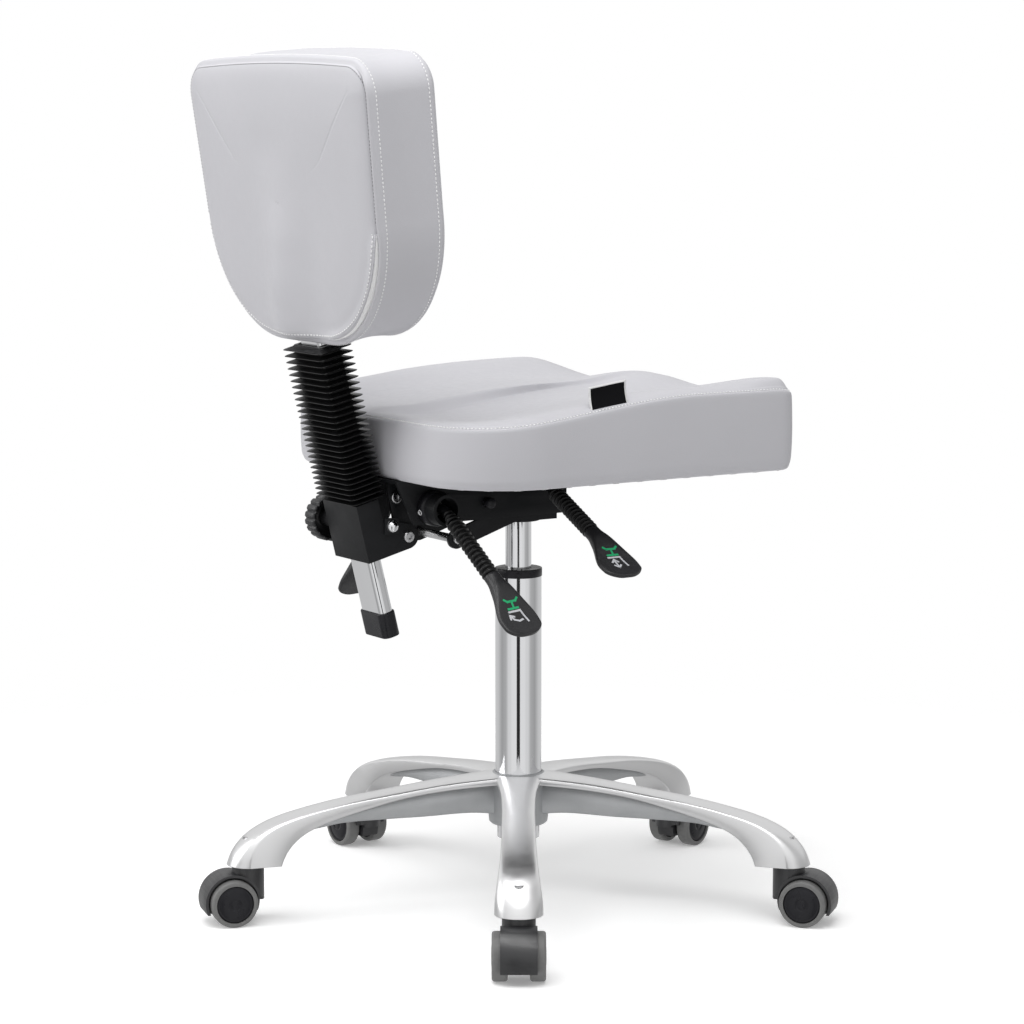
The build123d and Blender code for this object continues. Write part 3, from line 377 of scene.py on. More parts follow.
def loft(rings, capped=True):
    """Points and faces of a skin through rings of equally many points."""
    count = len(rings[0])
    points = [p for ring in rings for p in ring]
    faces = []
    for level in range(len(rings) - 1):
        low, high = level * count, (level + 1) * count
        for i in range(count):
            j = (i + 1) % count
            faces.append((low + i, low + j, high + j, high + i))
    if capped:
        faces.append(tuple(reversed(range(count))))
        faces.append(tuple(range((len(rings) - 1) * count, len(rings) * count)))
    return points, faces


def turned(profile, steps, place=Matrix()):
    """Points and faces of a solid turned about Z from (radius, height) pairs, then put in place."""
    rings = []
    for radius, height in profile:
        ring = []
        for i in range(steps):
            angle = 2.0 * math.pi * i / steps
            ring.append(place @ Vector((radius * math.cos(angle), radius * math.sin(angle), height)))
        rings.append(ring)
    return loft(rings)


def finished(made):
    """The evaluated mesh of an object in place of its own, with no modifier left."""
    depsgraph = bpy.context.evaluated_depsgraph_get()
    mesh = bpy.data.meshes.new_from_object(made.evaluated_get(depsgraph))
    made.modifiers.clear()
    made.data = mesh
    return made


BEVEL_SEGMENTS = 3
SHARP_ANGLE = math.radians(32.0)


def softened(node, width, material, name):
    """A copy of a solid's mesh with its sharp edges rounded, standing in for it."""
    mesh = nodes[node].data.copy()
    work = bmesh.new()
    work.from_mesh(mesh)
    bmesh.ops.remove_doubles(work, verts=work.verts, dist=2e-6)
    bmesh.ops.dissolve_limit(work, angle_limit=math.radians(1.0), verts=work.verts, edges=work.edges)
    work.to_mesh(mesh)
    work.free()
    mesh.materials.clear()
    mesh.materials.append(material)
    mesh.shade_smooth()
    made = bpy.data.objects.new(name, mesh)
    bpy.context.scene.collection.objects.link(made)
    bevel = made.modifiers.new("rounded", "BEVEL")
    bevel.width = width
    bevel.segments = BEVEL_SEGMENTS
    bevel.limit_method = "ANGLE"
    bevel.angle_limit = SHARP_ANGLE
    bevel.harden_normals = True
    finished(made)
    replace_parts(made, node)
    return made


def settle(made, body, slot):
    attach(made, body)
    return made


# Geometry trees
class Tree:
    """A geometry node tree with named inputs, built step by step."""

    KINDS = {"float": "NodeSocketFloat", "int": "NodeSocketInt", "object": "NodeSocketObject",
             "material": "NodeSocketMaterial", "vector": "NodeSocketVector"}

    def __init__(self, name, **inputs):
        self.tree = bpy.data.node_groups.new(name, "GeometryNodeTree")
        face = self.tree.interface
        face.new_socket("Geometry", in_out="INPUT", socket_type="NodeSocketGeometry")
        for key, kind in inputs.items():
            face.new_socket(key, in_out="INPUT", socket_type=self.KINDS[kind])
        face.new_socket("Geometry", in_out="OUTPUT", socket_type="NodeSocketGeometry")
        self.entry = self.tree.nodes.new("NodeGroupInput").outputs
        self.exit = self.tree.nodes.new("NodeGroupOutput").inputs["Geometry"]

    def node(self, kind, links=None, **settings):
        made = self.tree.nodes.new(kind)
        for key, value in settings.items():
            setattr(made, key, value)
        for key, value in (links or {}).items():
            if isinstance(value, bpy.types.NodeSocket):
                self.tree.links.new(value, made.inputs[key])
            else:
                made.inputs[key].default_value = value
        return made.outputs

    def end(self, instances, smoothed=True):
        real = self.node("GeometryNodeRealizeInstances", {"Geometry": instances})["Geometry"]
        if smoothed:
            real = self.node("GeometryNodeSetShadeSmooth", {"Geometry": real})["Geometry"]
        painted = self.node("GeometryNodeSetMaterial", {"Geometry": real, "Material": self.entry["Finish"]})
        self.tree.links.new(painted["Geometry"], self.exit)
        return self.tree


def grown(tree, base, **values):
    """Runs a tree on an object, with its inputs set by identifier, and keeps the plain result."""
    modifier = base.modifiers.new(tree.name, "NODES")
    modifier.node_group = tree
    for socket in tree.interface.items_tree:
        if socket.in_out == "INPUT" and socket.name in values:
            modifier[socket.identifier] = values[socket.name]
    return finished(base)


def stitch_tree():
    """Short threads along a line, each lying along it."""
    tree = Tree("stitch_run", Pitch="float", Reach="float", Thread="float", Finish="material")
    line = tree.node("GeometryNodeMeshToCurve", {"Mesh": tree.entry["Geometry"]})["Curve"]
    wanted = {"Curve": line, "Length": tree.entry["Pitch"]}
    spaced = tree.node("GeometryNodeResampleCurve", wanted, mode="LENGTH")
    thick = tree.entry["Thread"]
    size = tree.node("ShaderNodeCombineXYZ", {"X": tree.entry["Reach"], "Y": thick, "Z": thick})
    bead = tree.node("GeometryNodeMeshUVSphere", {"Segments": 8, "Rings": 6, "Radius": 1.0})["Mesh"]
    along = tree.node("GeometryNodeInputTangent")["Tangent"]
    turn = tree.node("FunctionNodeAlignRotationToVector", {"Vector": along}, axis="X")["Rotation"]
    stitches = tree.node(
        "GeometryNodeInstanceOnPoints",
        {"Points": spaced["Curve"], "Instance": bead, "Rotation": turn, "Scale": size["Vector"]},
    )
    return tree.end(stitches["Instances"])


def stack_tree():
    """Copies of one fold set end to end, joined into a hose."""
    tree = Tree("fold_stack", Count="int", Step="vector", Finish="material")
    run = {"Count": tree.entry["Count"], "Offset": tree.entry["Step"]}
    line = tree.node("GeometryNodeMeshLine", run)["Mesh"]
    folds = tree.node("GeometryNodeInstanceOnPoints", {"Points": line, "Instance": tree.entry["Geometry"]})
    real = tree.node("GeometryNodeRealizeInstances", {"Geometry": folds["Instances"]})["Geometry"]
    joined = tree.node("GeometryNodeMergeByDistance", {"Geometry": real, "Distance": 1e-5})["Geometry"]
    return tree.end(joined)


def ring_tree():
    """Copies of one piece set evenly round the Z axis."""
    tree = Tree("ring_of_arms", Count="int", Turn="float", Finish="material")
    stacked = {"Count": tree.entry["Count"], "Offset": (0.0, 0.0, 0.0)}
    spots = tree.node("GeometryNodeMeshLine", stacked)["Mesh"]
    whole = tree.node("ShaderNodeMath", {0: 2.0 * math.pi, 1: tree.entry["Count"]}, operation="DIVIDE")[0]
    index = tree.node("GeometryNodeInputIndex")["Index"]
    terms = {0: whole, 1: index, 2: tree.entry["Turn"]}
    share = tree.node("ShaderNodeMath", terms, operation="MULTIPLY_ADD")[0]
    spin = tree.node("ShaderNodeCombineXYZ", {"Z": share})["Vector"]
    turn = tree.node("FunctionNodeEulerToRotation", {"Euler": spin})["Rotation"]
    arms = tree.node(
        "GeometryNodeInstanceOnPoints",
        {"Points": spots, "Instance": tree.entry["Geometry"], "Rotation": turn},
    )
    return tree.end(arms["Instances"])


def bolt_tree():
    """One bolt head on each point, turned to that point's facing."""
    tree = Tree("bolt_set", Head="object", Finish="material")
    head = tree.node("GeometryNodeObjectInfo", {"Object": tree.entry["Head"]})["Geometry"]
    stored = tree.node("GeometryNodeInputNamedAttribute", {"Name": "facing"}, data_type="FLOAT_VECTOR")
    facing = stored["Attribute"]
    turn = tree.node("FunctionNodeAlignRotationToVector", {"Vector": facing}, axis="Z")["Rotation"]
    heads = tree.node(
        "GeometryNodeInstanceOnPoints",
        {"Points": tree.entry["Geometry"], "Instance": head, "Rotation": turn},
    )
    return tree.end(heads["Instances"], smoothed=False)


STITCHES = stitch_tree()
STACK = stack_tree()
RING = ring_tree()
BOLTS = bolt_tree()


def stitched(name, path, pitch, material, body, slot, thick, reach, closed=True):
    """A row of stitches along a path of points that already lies on the cover."""
    mesh = bpy.data.meshes.new(name)
    edges = [(i, i + 1) for i in range(len(path) - 1)]
    if closed:
        edges.append((len(path) - 1, 0))
    mesh.from_pydata([tuple(p) for p in path], edges, [])
    made = bpy.data.objects.new(name, mesh)
    bpy.context.scene.collection.objects.link(made)
    grown(STITCHES, made, Pitch=pitch, Reach=reach, Thread=thick, Finish=material)
    return settle(made, body, slot)


def bolted(name, spots, head, material, body, slot):
    """Bolt heads on points, each with the direction that it faces."""
    mesh = bpy.data.meshes.new(name)
    mesh.from_pydata([tuple(p) for p, _ in spots], [], [])
    facing = mesh.attributes.new("facing", "FLOAT_VECTOR", "POINT")
    for entry, (_, direction) in zip(facing.data, spots):
        entry.vector = direction
    made = bpy.data.objects.new(name, mesh)
    bpy.context.scene.collection.objects.link(made)
    grown(BOLTS, made, Head=head, Finish=material)
    return settle(made, body, slot)


# Seat cushion
SEAT_HALF = 0.208
SEAT_FRONT = 0.221
SEAT_REAR = -0.190
SEAT_REAR_CORNER = 0.095
SEAT_FRONT_CORNER = 0.024
SEAT_DRAW = 0.003
SEAT_CROWN = 0.011
SEAT_ROLL = 0.030
SEAT_STITCH_INSET = 0.0044
SEAT_STITCH_LIFT = 0.0003
ABOVE_SEAT = 0.7


def corner_points(centre, radius, start, steps):
    """Points along a quarter turn about a corner's centre, from a start angle in degrees."""
    angles = np.radians(start + np.linspace(0.0, 90.0, steps))
    return [(centre[0] + radius * math.cos(a), centre[1] + radius * math.sin(a)) for a in angles]


def between(first, last, steps):
    """Points strictly between two points."""
    shares = np.linspace(0.0, 1.0, steps + 2)[1:-1]
    return [(first[0] + (last[0] - first[0]) * s, first[1] + (last[1] - first[1]) * s) for s in shares]


def seat_loop(inset):
    """The seat's outline seen from above, a distance inside its edge, anticlockwise from the front left."""
    half = SEAT_HALF - inset
    front = SEAT_FRONT - inset
    rear = SEAT_REAR + inset
    near = max(SEAT_FRONT_CORNER - inset, 0.0015)
    far = max(SEAT_REAR_CORNER - inset, 0.0015)
    corners = [
        corner_points((front - near, half - near), near, 0.0, 12),
        corner_points((rear + far, half - far), far, 90.0, 26),
        corner_points((rear + far, far - half), far, 180.0, 26),
        corner_points((front - near, near - half), near, 270.0, 12),
    ]
    loop = []
    for corner, following, steps in zip(corners, corners[1:] + corners[:1], (46, 30, 46, 60)):
        loop += corner + between(corner[-1], following[0], steps)
    drawn = []
    for x, y in loop:
        share = (x - SEAT_REAR) / (SEAT_FRONT - SEAT_REAR)
        drawn.append((x, y * (1.0 - SEAT_DRAW * math.sin(math.pi * share) / SEAT_HALF)))
    return drawn


def seat_side(x):
    """Height of the side panel above the plate: level behind, rising towards the front."""
    return 0.063 + 0.024 * smooth((x - SEAT_REAR - 0.008) / 0.277)


LEFT_FALL = [
    (0.105, 0.0), (0.130, 0.0008), (0.147, 0.0044), (0.167, 0.0112), (0.181, 0.0168), (0.195, 0.0220),
    (0.210, 0.0266), (0.221, 0.0290),
]


def front_fall(x, run):
    """From 0 to 1 over the last stretch before the front edge."""
    return smooth(1.0 - (SEAT_FRONT - x) / run)


def seat_seam(x, y):
    """Level of the sewn edge, which sags in the middle of the front."""
    sag = 0.017 * front_fall(x, 0.045) * smooth((0.165 - abs(y)) / 0.075)
    left = 0.62 * curve_through(LEFT_FALL, x) * smooth((y - 0.05) / 0.08)
    return PLATE_TOP + seat_side(x) - 0.004 * front_fall(x, 0.03) - max(sag, left)


def curve_through(stations, value):
    """Smooth value at a place between stations, each a (place, value) pair."""
    places = [s[0] for s in stations]
    for i in range(len(stations) - 1):
        if value <= places[i + 1] or i == len(stations) - 2:
            break
    (x0, y0), (x1, y1) = stations[i], stations[i + 1]

    def slope(k):
        if k == 0 or k == len(stations) - 1:
            return 0.0
        return (stations[k + 1][1] - stations[k - 1][1]) / (places[k + 1] - places[k - 1])

    t = min(max((value - x0) / (x1 - x0), 0.0), 1.0)
    width = x1 - x0
    return (
        (2 * t**3 - 3 * t**2 + 1) * y0
        + (t**3 - 2 * t**2 + t) * width * slope(i)
        + (3 * t**2 - 2 * t**3) * y1
        + (t**3 - t**2) * width * slope(i + 1)
    )


def seat_top(x, y):
    """Height of the top panel before its edge rolls over: rims, thigh channels, pommel and rear dish."""
    share = min(max((x - SEAT_REAR) / (SEAT_FRONT - SEAT_REAR), 0.0), 1.0)
    front = smooth((share - 0.45) / 0.45)
    dip = smooth(share / 0.2)
    left = curve_through(LEFT_FALL, x)
    rim = PLATE_TOP + seat_side(x) + SEAT_CROWN
    if y > 0.0:
        rim += 0.006 * smooth((x - SEAT_REAR) / 0.10) * smooth((0.09 - x) / 0.15)
    else:
        rim -= 0.005 * smooth((0.195 - x) / 0.10)
    fall = 0.003 * front_fall(x, 0.06)
    bowl = rim - 0.003 - dip * (0.008 * (1.0 - front) + 0.016 * front) - fall
    channel = bowl + 0.4 * fall - 0.25 * left * smooth(y / 0.05)
    rim -= left if y > 0.0 else 0.002 * front_fall(x, 0.030)
    pommel = 0.0135 * math.exp(-(((x - 0.152) / 0.060) ** 2) - (y / 0.050) ** 2)
    across = [
        (0.0, bowl),
        (SEAT_HALF * 0.46, channel),
        (SEAT_HALF - 0.044, rim - 0.002),
        (SEAT_HALF - 0.016, rim),
        (SEAT_HALF, rim - 0.001),
    ]
    return curve_through(across, abs(y)) + pommel


def squareness(x, y):
    """1 at the front right corner, whose edge turns over more tightly, and 0 elsewhere."""
    return smooth((x - 0.13) / 0.06) * smooth((-y - 0.08) / 0.06)


def seat_roll(inset, run):
    """How far the top panel drops as it turns over towards its seam."""
    share = 1.0 - min(max(inset / run, 0.0), 1.0)
    return (SEAT_CROWN + 0.001) * (1.0 - math.sqrt(max(1.0 - share * share, 0.0)))


def seat_level(x, y, inset):
    return seat_top(x, y) - seat_roll(inset, SEAT_ROLL - 0.018 * squareness(x, y))


def seat_pad():
    """The cushion as one closed skin: hem under the board, side panel, sewn edge and shaped top."""
    rings = []

    def ring(inset, level):
        rings.append([(x, y, level(x, y)) for x, y in seat_loop(inset)])

    inner = BOARD_TOP + 0.0003
    for inset in (0.17, 0.12, 0.07, 0.03, 0.0142):
        ring(inset, lambda x, y: inner)
    ring(0.0138, lambda x, y: PLATE_TOP + 0.0015)
    hem = ((0.0128, 0.0003), (0.0085, 0.0), (0.0058, 0.0007), (0.0040, 0.0022), (0.0029, 0.0048))
    for inset, rise in hem:
        ring(inset, lambda x, y: PLATE_TOP + rise)
    for share in np.linspace(0.13, 0.94, 15):
        bulge = 0.0022 * (1.0 - share / 0.5) ** 2 if share < 0.5 else 0.0012 * ((share - 0.5) / 0.5) ** 2
        ring(bulge, lambda x, y: PLATE_TOP + (seat_seam(x, y) - PLATE_TOP) * share)
    for inset, rise in ((0.0014, -0.0030), (0.0019, -0.0015), (0.0030, -0.0007), (0.0044, -0.0007)):
        ring(inset, lambda x, y: seat_seam(x, y) + rise)
    first = [0.0046, 0.0052, 0.0060, 0.0068, 0.0076, 0.0095, 0.0120, 0.0150, 0.0185, 0.0225, 0.0270]
    for inset in first + list(np.linspace(0.033, 0.196, 36)):
        groove = 0.0005 * math.exp(-(((inset - 0.0068) / 0.0007) ** 2))

        def level(x, y):
            run = 0.026 - 0.015 * squareness(x, y)
            edge = seat_seam(x, y) + 0.0065 * math.sqrt(min((inset - 0.0044) / run, 1.0))
            return edge + (seat_level(x, y, inset) - edge) * smooth((inset - 0.0046) / run) - groove

        ring(inset, level)
    return piece("seat_pad", *loft(rings), LEATHER)


SWELL_FRAMES = 16
SWELL_CAP = 0.0004
SWELL_EVENING = 6
CROWDED = 0.0012


def swell(made, count, pinned, pressure):
    """Lets a cover of rings swell a little between its pinned seams, by a short cloth run, evened out."""
    rest = np.array([v.co[:] for v in made.data.vertices])
    facing = np.array([v.normal[:] for v in made.data.vertices])
    group = made.vertex_groups.new(name="sewn")
    group.add([i for i in range(len(rest)) if pinned(rest[i])], 1.0, "REPLACE")
    cloth = made.modifiers.new("swelling", "CLOTH")
    cloth.settings.quality = 5
    cloth.settings.mass = 0.4
    cloth.settings.tension_stiffness = 40.0
    cloth.settings.compression_stiffness = 40.0
    cloth.settings.shear_stiffness = 20.0
    cloth.settings.bending_stiffness = 6.0
    cloth.settings.use_pressure = True
    cloth.settings.uniform_pressure_force = pressure
    cloth.settings.vertex_group_mass = group.name
    cloth.settings.effector_weights.gravity = 0.0
    cloth.point_cache.frame_start = 1
    cloth.point_cache.frame_end = SWELL_FRAMES
    scene = bpy.context.scene
    for number in range(1, SWELL_FRAMES + 1):
        scene.frame_set(number)
    depsgraph = bpy.context.evaluated_depsgraph_get()
    swollen = made.evaluated_get(depsgraph).to_mesh()
    moved = np.array([v.co[:] for v in swollen.vertices])
    made.evaluated_get(depsgraph).to_mesh_clear()
    made.modifiers.clear()
    made.vertex_groups.clear()
    scene.frame_set(1)
    lift = np.sum((moved - rest) * facing, axis=1).reshape(-1, count)
    lift = np.clip(lift, -SWELL_CAP, SWELL_CAP)
    for _ in range(SWELL_EVENING):
        lift = (np.roll(lift, 1, axis=1) + 2.0 * lift + np.roll(lift, -1, axis=1)) / 4.0
        lift[1:-1] = (lift[:-2] + 2.0 * lift[1:-1] + lift[2:]) / 4.0
    loops = rest.reshape(-1, count, 3)
    spacing = np.linalg.norm(loops - np.roll(loops, 1, axis=1), axis=2).mean(axis=1, keepdims=True)
    mean = lift.mean(axis=1, keepdims=True)
    lift = mean + (lift - mean) * smooth((spacing - CROWDED) / CROWDED)
    made.data.vertices.foreach_set("co", (rest + facing * lift.reshape(-1, 1)).ravel())
    made.data.update()


def refined(made):
    """One level of subdivision, applied, with the wide end faces cut into triangles first."""
    work = bmesh.new()
    work.from_mesh(made.data)
    bmesh.ops.triangulate(work, faces=[face for face in work.faces if len(face.verts) > 4])
    work.to_mesh(made.data)
    work.free()
    level = made.modifiers.new("finer", "SUBSURF")
    level.levels = 1
    level.render_levels = 1
    finished(made)
    made.data.shade_smooth()


def surface_of(made):
    """A search tree over a piece's faces."""
    work = bmesh.new()
    work.from_mesh(made.data)
    tree = BVHTree.FromBMesh(work)
    work.free()
    return tree


def seat_seam_pins(p):
    """Points of the cushion that the seams, the hem and the board hold in place."""
    level = seat_seam(p[0], p[1])
    loose = min(SEAT_HALF - abs(p[1]), p[0] - SEAT_REAR, SEAT_FRONT - p[0])
    sewn = abs(p[2] - level) < 0.0035 and loose < 0.075
    return bool(sewn or p[2] < PLATE_TOP + 0.014)


def seat_cushion():
    made = seat_pad()
    swell(made, len(seat_loop(0.0)), seat_seam_pins, pressure=2.5)
    refined(made)
    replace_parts(made, "seat_cushion")
    settle(made, "seat", "leatherette")
    cover = surface_of(made)
    path = []
    for x, y in seat_loop(SEAT_STITCH_INSET):
        found = cover.ray_cast(Vector((x, y, ABOVE_SEAT)), DOWN)
        path.append(found[0] + found[1] * SEAT_STITCH_LIFT)
    stitched("seat_edge_stitches", path, 0.0040, PALE_THREAD, "seat", "leatherette", 0.0008, 0.0013)
    return cover


SEAT_COVER = seat_cushion()

# Backrest cushion
BACK_HALF = 0.187
BACK_TAPER = 0.008
BACK_HEIGHT = 0.287
BACK_TOP_CORNER = 0.034
BACK_LOW_CORNER = 0.130
BACK_BOW = 0.006
BACK_REAR_EDGE = 0.0078
BACK_FRONT_EDGE = 0.0690
BACK_FRONT_SEAM = 0.0755
SLIT_INSET = 0.0074
SLIT_TOP = 0.124
SEAM_INSET = 0.0076
HEM_INSET = 0.0105


def back_loop(inset):
    """The backrest's outline in its own frame as (y, z) pairs, a distance inside its edge."""
    half = BACK_HALF - inset
    waist = half - BACK_TAPER
    top = BACK_HEIGHT - inset
    upper = max(BACK_TOP_CORNER - inset, 0.002)
    lower = max(BACK_LOW_CORNER - inset, 0.002)
    corners = [
        corner_points((waist - lower, inset + lower), lower, 270.0, 34),
        corner_points((half - upper, top - upper), upper, 0.0, 18),
        corner_points((upper - half, top - upper), upper, 90.0, 18),
        corner_points((lower - waist, inset + lower), lower, 180.0, 34),
    ]
    loop = []
    for corner, following, steps in zip(corners, corners[1:] + corners[:1], (30, 60, 30, 36)):
        loop += corner + between(corner[-1], following[0], steps)
    bowed = []
    for y, z in loop:
        lift = BACK_BOW * (1.0 - (y / BACK_HALF) ** 2) * smooth((z - 0.18) / 0.1)
        bowed.append((y, z + lift))
    return bowed


def right_side(y, z):
    """1 along the sitter's right, where a valley follows the seam, and 0 on the left and along the top."""
    return smooth((-y - 0.06) / 0.08) * (1.0 - smooth((z - BACK_HEIGHT + 0.026) / 0.02))


def opened(y, z):
    """1 along the stretch of the seam, at the lower right, that is left open."""
    return smooth((0.128 - z) / 0.03) * smooth((-y - 0.045) / 0.03)


def back_panel(y, z, inset):
    """How far the rear panel stands out behind: a slight crown, and low down the fold that the bar makes."""
    edge = min(max(1.0 - (inset - 0.0066) / 0.0220, 0.0), 1.0)
    drop = 0.0050 + 0.0036 * right_side(y, z)
    roll = drop * (1.0 - math.sqrt(max(1.0 - edge * edge, 0.0))) - 0.0041
    roll -= 0.0030 * opened(y, z) * math.exp(-(((inset - 0.0095) / 0.0045) ** 2))
    crown = 0.0030 * smooth(inset / 0.07)
    low = smooth((0.215 - z) / 0.17)
    ridge = 0.0120 * low * math.exp(-(((y - 0.012) / 0.030) ** 2)) * smooth(inset / 0.014)
    valley = 0.0045 * low * math.exp(-(((y + 0.050) / 0.026) ** 2)) * smooth(inset / 0.02)
    valley += 0.0020 * low * math.exp(-(((y - 0.085) / 0.030) ** 2)) * smooth(inset / 0.02)
    return roll - crown - ridge + valley


FRONT_CROWN = [(0.0, BACK_FRONT_SEAM), (0.005, 0.0785), (0.024, 0.0838), (0.068, 0.0868), (0.14, 0.0870)]


def front_panel(y, z, inset):
    """How far forward the front panel lies, from its seam to its crown, the same all round."""
    return curve_through(FRONT_CROWN, inset)


# Past this inset a loop shrinks towards the panel's middle instead of keeping its distance
SHRINK_INSET = 0.100
SHRINK_RUN = 0.0415
SHRINK_TO = 0.146
# Inset, depth of the plain edge and depth of the welt that is raised along the right side
WELT = (
    (0.0063, 0.0014, 0.0062), (0.0058, 0.0018, 0.0030), (0.0050, 0.0022, 0.0006),
    (0.0038, 0.0028, -0.0004), (0.0024, 0.0034, 0.0002), (0.0012, 0.0042, 0.0016),
    (0.0004, 0.0056, 0.0040), (0.0, BACK_REAR_EDGE, BACK_REAR_EDGE),
)


def back_pad():
    """The cushion as one closed skin: rear panel, welt, side panel, front seam and front panel."""
    rings = []

    def ring(inset, depth):
        share = 1.0 - max(inset - SHRINK_INSET, 0.0) / SHRINK_RUN
        plain = back_loop(min(inset, SHRINK_INSET))
        loop = [(y * share, SHRINK_TO + (z - SHRINK_TO) * share) for y, z in plain]
        rings.append([BACK_FRAME @ Vector((depth(y, z, inset), y, z)) for y, z in loop])

    near = [0.0300, 0.0260, 0.0220, 0.0185, 0.0155, 0.0130, 0.0110, 0.0094, 0.0082, 0.0073, 0.0067]
    panel = list(np.linspace(0.141, 0.034, 26)) + near
    for inset in panel:
        ring(inset, back_panel)
    for inset, plain, raised in WELT:
        def depth(y, z, _):
            lowered = 0.0030 * opened(y, z) * (1.0 - plain / BACK_REAR_EDGE)
            return plain + (raised - plain) * right_side(y, z) + lowered

        ring(inset, depth)
    for share in np.linspace(0.06, 0.94, 16):
        level = BACK_REAR_EDGE + (BACK_FRONT_EDGE - BACK_REAR_EDGE) * share
        ring(0.003 * math.sin(math.pi * share), lambda y, z, _: level)
    front_edge = ((0.0, 0.0700), (0.0004, 0.0725), (0.0012, 0.0741), (0.0024, 0.0746), (0.0036, 0.0750))
    for inset, level in front_edge:
        ring(inset, lambda y, z, _: level)
    for inset in reversed(panel):
        ring(inset, front_panel)
    return piece("back_pad", *loft(rings), LEATHER)


INTO_BACK = BACK_FRAME.inverted()


def back_seam_pins(p):
    """Points of the cushion that its two seams hold in place."""
    local = INTO_BACK @ Vector(p)
    edge = -0.001 < local.x < 0.0066 or abs(local.x - 0.0746) < 0.0014
    inside = abs(local.y) < BACK_HALF - 0.016 and 0.02 < local.z < BACK_HEIGHT - 0.008
    return bool(edge and not inside)


THREAD_PROUD = 0.00012
RAY_MARGIN = 0.012
BEHIND = -0.1


def cast_onto(cover, start, direction):
    """The place where a ray meets a cover, a little outside it."""
    found = cover.ray_cast(start, direction)
    return None if found[0] is None else found[0] + found[1] * THREAD_PROUD


def rim_row(cover, depth):
    """A line round the side panel at a depth from the rear, lying on the cover."""
    path = []
    for (y, z), (yo, zo) in zip(back_loop(RAY_MARGIN), back_loop(-RAY_MARGIN)):
        outside = BACK_FRAME @ Vector((depth, yo, zo))
        inside = BACK_FRAME @ Vector((depth, y, z))
        path.append(cast_onto(cover, outside, (inside - outside).normalized()))
    return [p for p in path if p is not None]


def rear_row(cover, inset):
    """A line round the rear panel at an inset, lying on the cover."""
    forward = BACK_FRAME.to_3x3() @ Vector((1.0, 0.0, 0.0))
    path = [cast_onto(cover, BACK_FRAME @ Vector((BEHIND, y, z)), forward) for y, z in back_loop(inset)]
    return [p for p in path if p is not None]


def slit_path():
    """The stretch of the rear seam, at the sitter's lower right, that is left open over its lining."""
    return [(y, z) for y, z in back_loop(SLIT_INSET) if y < -0.050 and 0.0 < z < SLIT_TOP]


STRIP_STEPS = 12


def strip(name, path, widths, lift, across, material, rounded):
    """A narrow band along a path, with a half width, an outward and a cross direction at each point."""
    rings = []
    for p, width, cross, out in zip(path, widths, across, lift):
        ring = []
        for k in range(STRIP_STEPS):
            angle = 2.0 * math.pi * k / STRIP_STEPS
            ring.append(p + cross * (width * math.cos(angle)) + out * (rounded * math.sin(angle)))
        rings.append(ring)
    return piece(name, *loft(rings), material)


# The open seam faces partly backwards and partly out from the edge
BACKWARDS = Vector((-1.0, 0.0, 0.0))
SLIT_COS = 0.845
SLIT_SIN = 0.534


def back_slit():
    """White lining in the open stretch of the rear seam, between two turned lips."""
    spots = slit_path()
    count = len(spots)
    path, across, out, widths = [], [], [], []
    turn = BACK_FRAME.to_3x3()
    for i, (y, z) in enumerate(spots):
        normal = Vector((0.0, y + 0.049, z - BACK_LOW_CORNER)).normalized()
        cross = BACKWARDS * -SLIT_COS + normal * SLIT_SIN
        outward = BACKWARDS * SLIT_SIN + normal * SLIT_COS
        path.append(BACK_FRAME @ (Vector((0.0013, y, z)) + outward * 0.0004))
        across.append(turn @ cross)
        out.append(turn @ outward)
        widths.append(0.0004 + 0.0032 * math.sin(math.pi * i / (count - 1)) ** 0.7)
    lining = strip("back_slit_lining", path, widths, out, across, LINING, 0.0007)
    settle(lining, "bar", "leatherette")
    for sign, label in ((1.0, "front"), (-1.0, "rear")):
        line = [p + c * (sign * (w + 0.0006)) for p, c, w in zip(path, across, widths)]
        lip = strip(f"back_slit_lip_{label}", line, [0.0008] * count, out, across, LEATHER, 0.0013)
        settle(lip, "bar", "leatherette")


def back_cushion():
    made = back_pad()
    swell(made, len(back_loop(0.0)), back_seam_pins, pressure=2.0)
    refined(made)
    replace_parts(made, "back_cushion")
    settle(made, "bar", "leatherette")
    cover = surface_of(made)
    for label, depth in (("rear", BACK_REAR_EDGE + 0.001), ("front", BACK_FRONT_EDGE)):
        row, name = rim_row(cover, depth), f"back_{label}_side_stitches"
        stitched(name, row, 0.0042, PALE_THREAD, "bar", "leatherette", 0.0006, 0.0015)
    # The rear seam's stitches are dark grey, which paints the shade of the seam's crease along the top and
    # the sides
    seam = [p for p in rear_row(cover, SEAM_INSET) if (INTO_BACK @ p).z > SLIT_TOP + 0.004]
    stitched("back_seam_stitches", seam, 0.0036, SEAM_SHADE_THREAD, "bar", "leatherette", 0.0005, 0.0013, False)
    hem = [p for p in rear_row(cover, HEM_INSET) if (INTO_BACK @ p).z < SLIT_TOP - 0.002]
    stitched("back_hem_stitches", hem, 0.0046, PALE_THREAD, "bar", "leatherette", 0.0007, 0.0015, False)
    back_slit()


back_cushion()


# Pleated hose and ribbed sleeves
def rounded_loop(half_x, half_y, radius):
    """A rectangle with rounded corners as (x, y) pairs."""
    steps = 7
    loop = []
    for k, (sx, sy) in enumerate(((1, 1), (-1, 1), (-1, -1), (1, -1))):
        centre = (sx * (half_x - radius), sy * (half_y - radius))
        loop += corner_points(centre, radius, 90.0 * k, steps)
    return loop


def round_loop(radius, steps=28):
    angles = [2.0 * math.pi * i / steps for i in range(steps)]
    return [(radius * math.cos(a), radius * math.sin(a)) for a in angles]


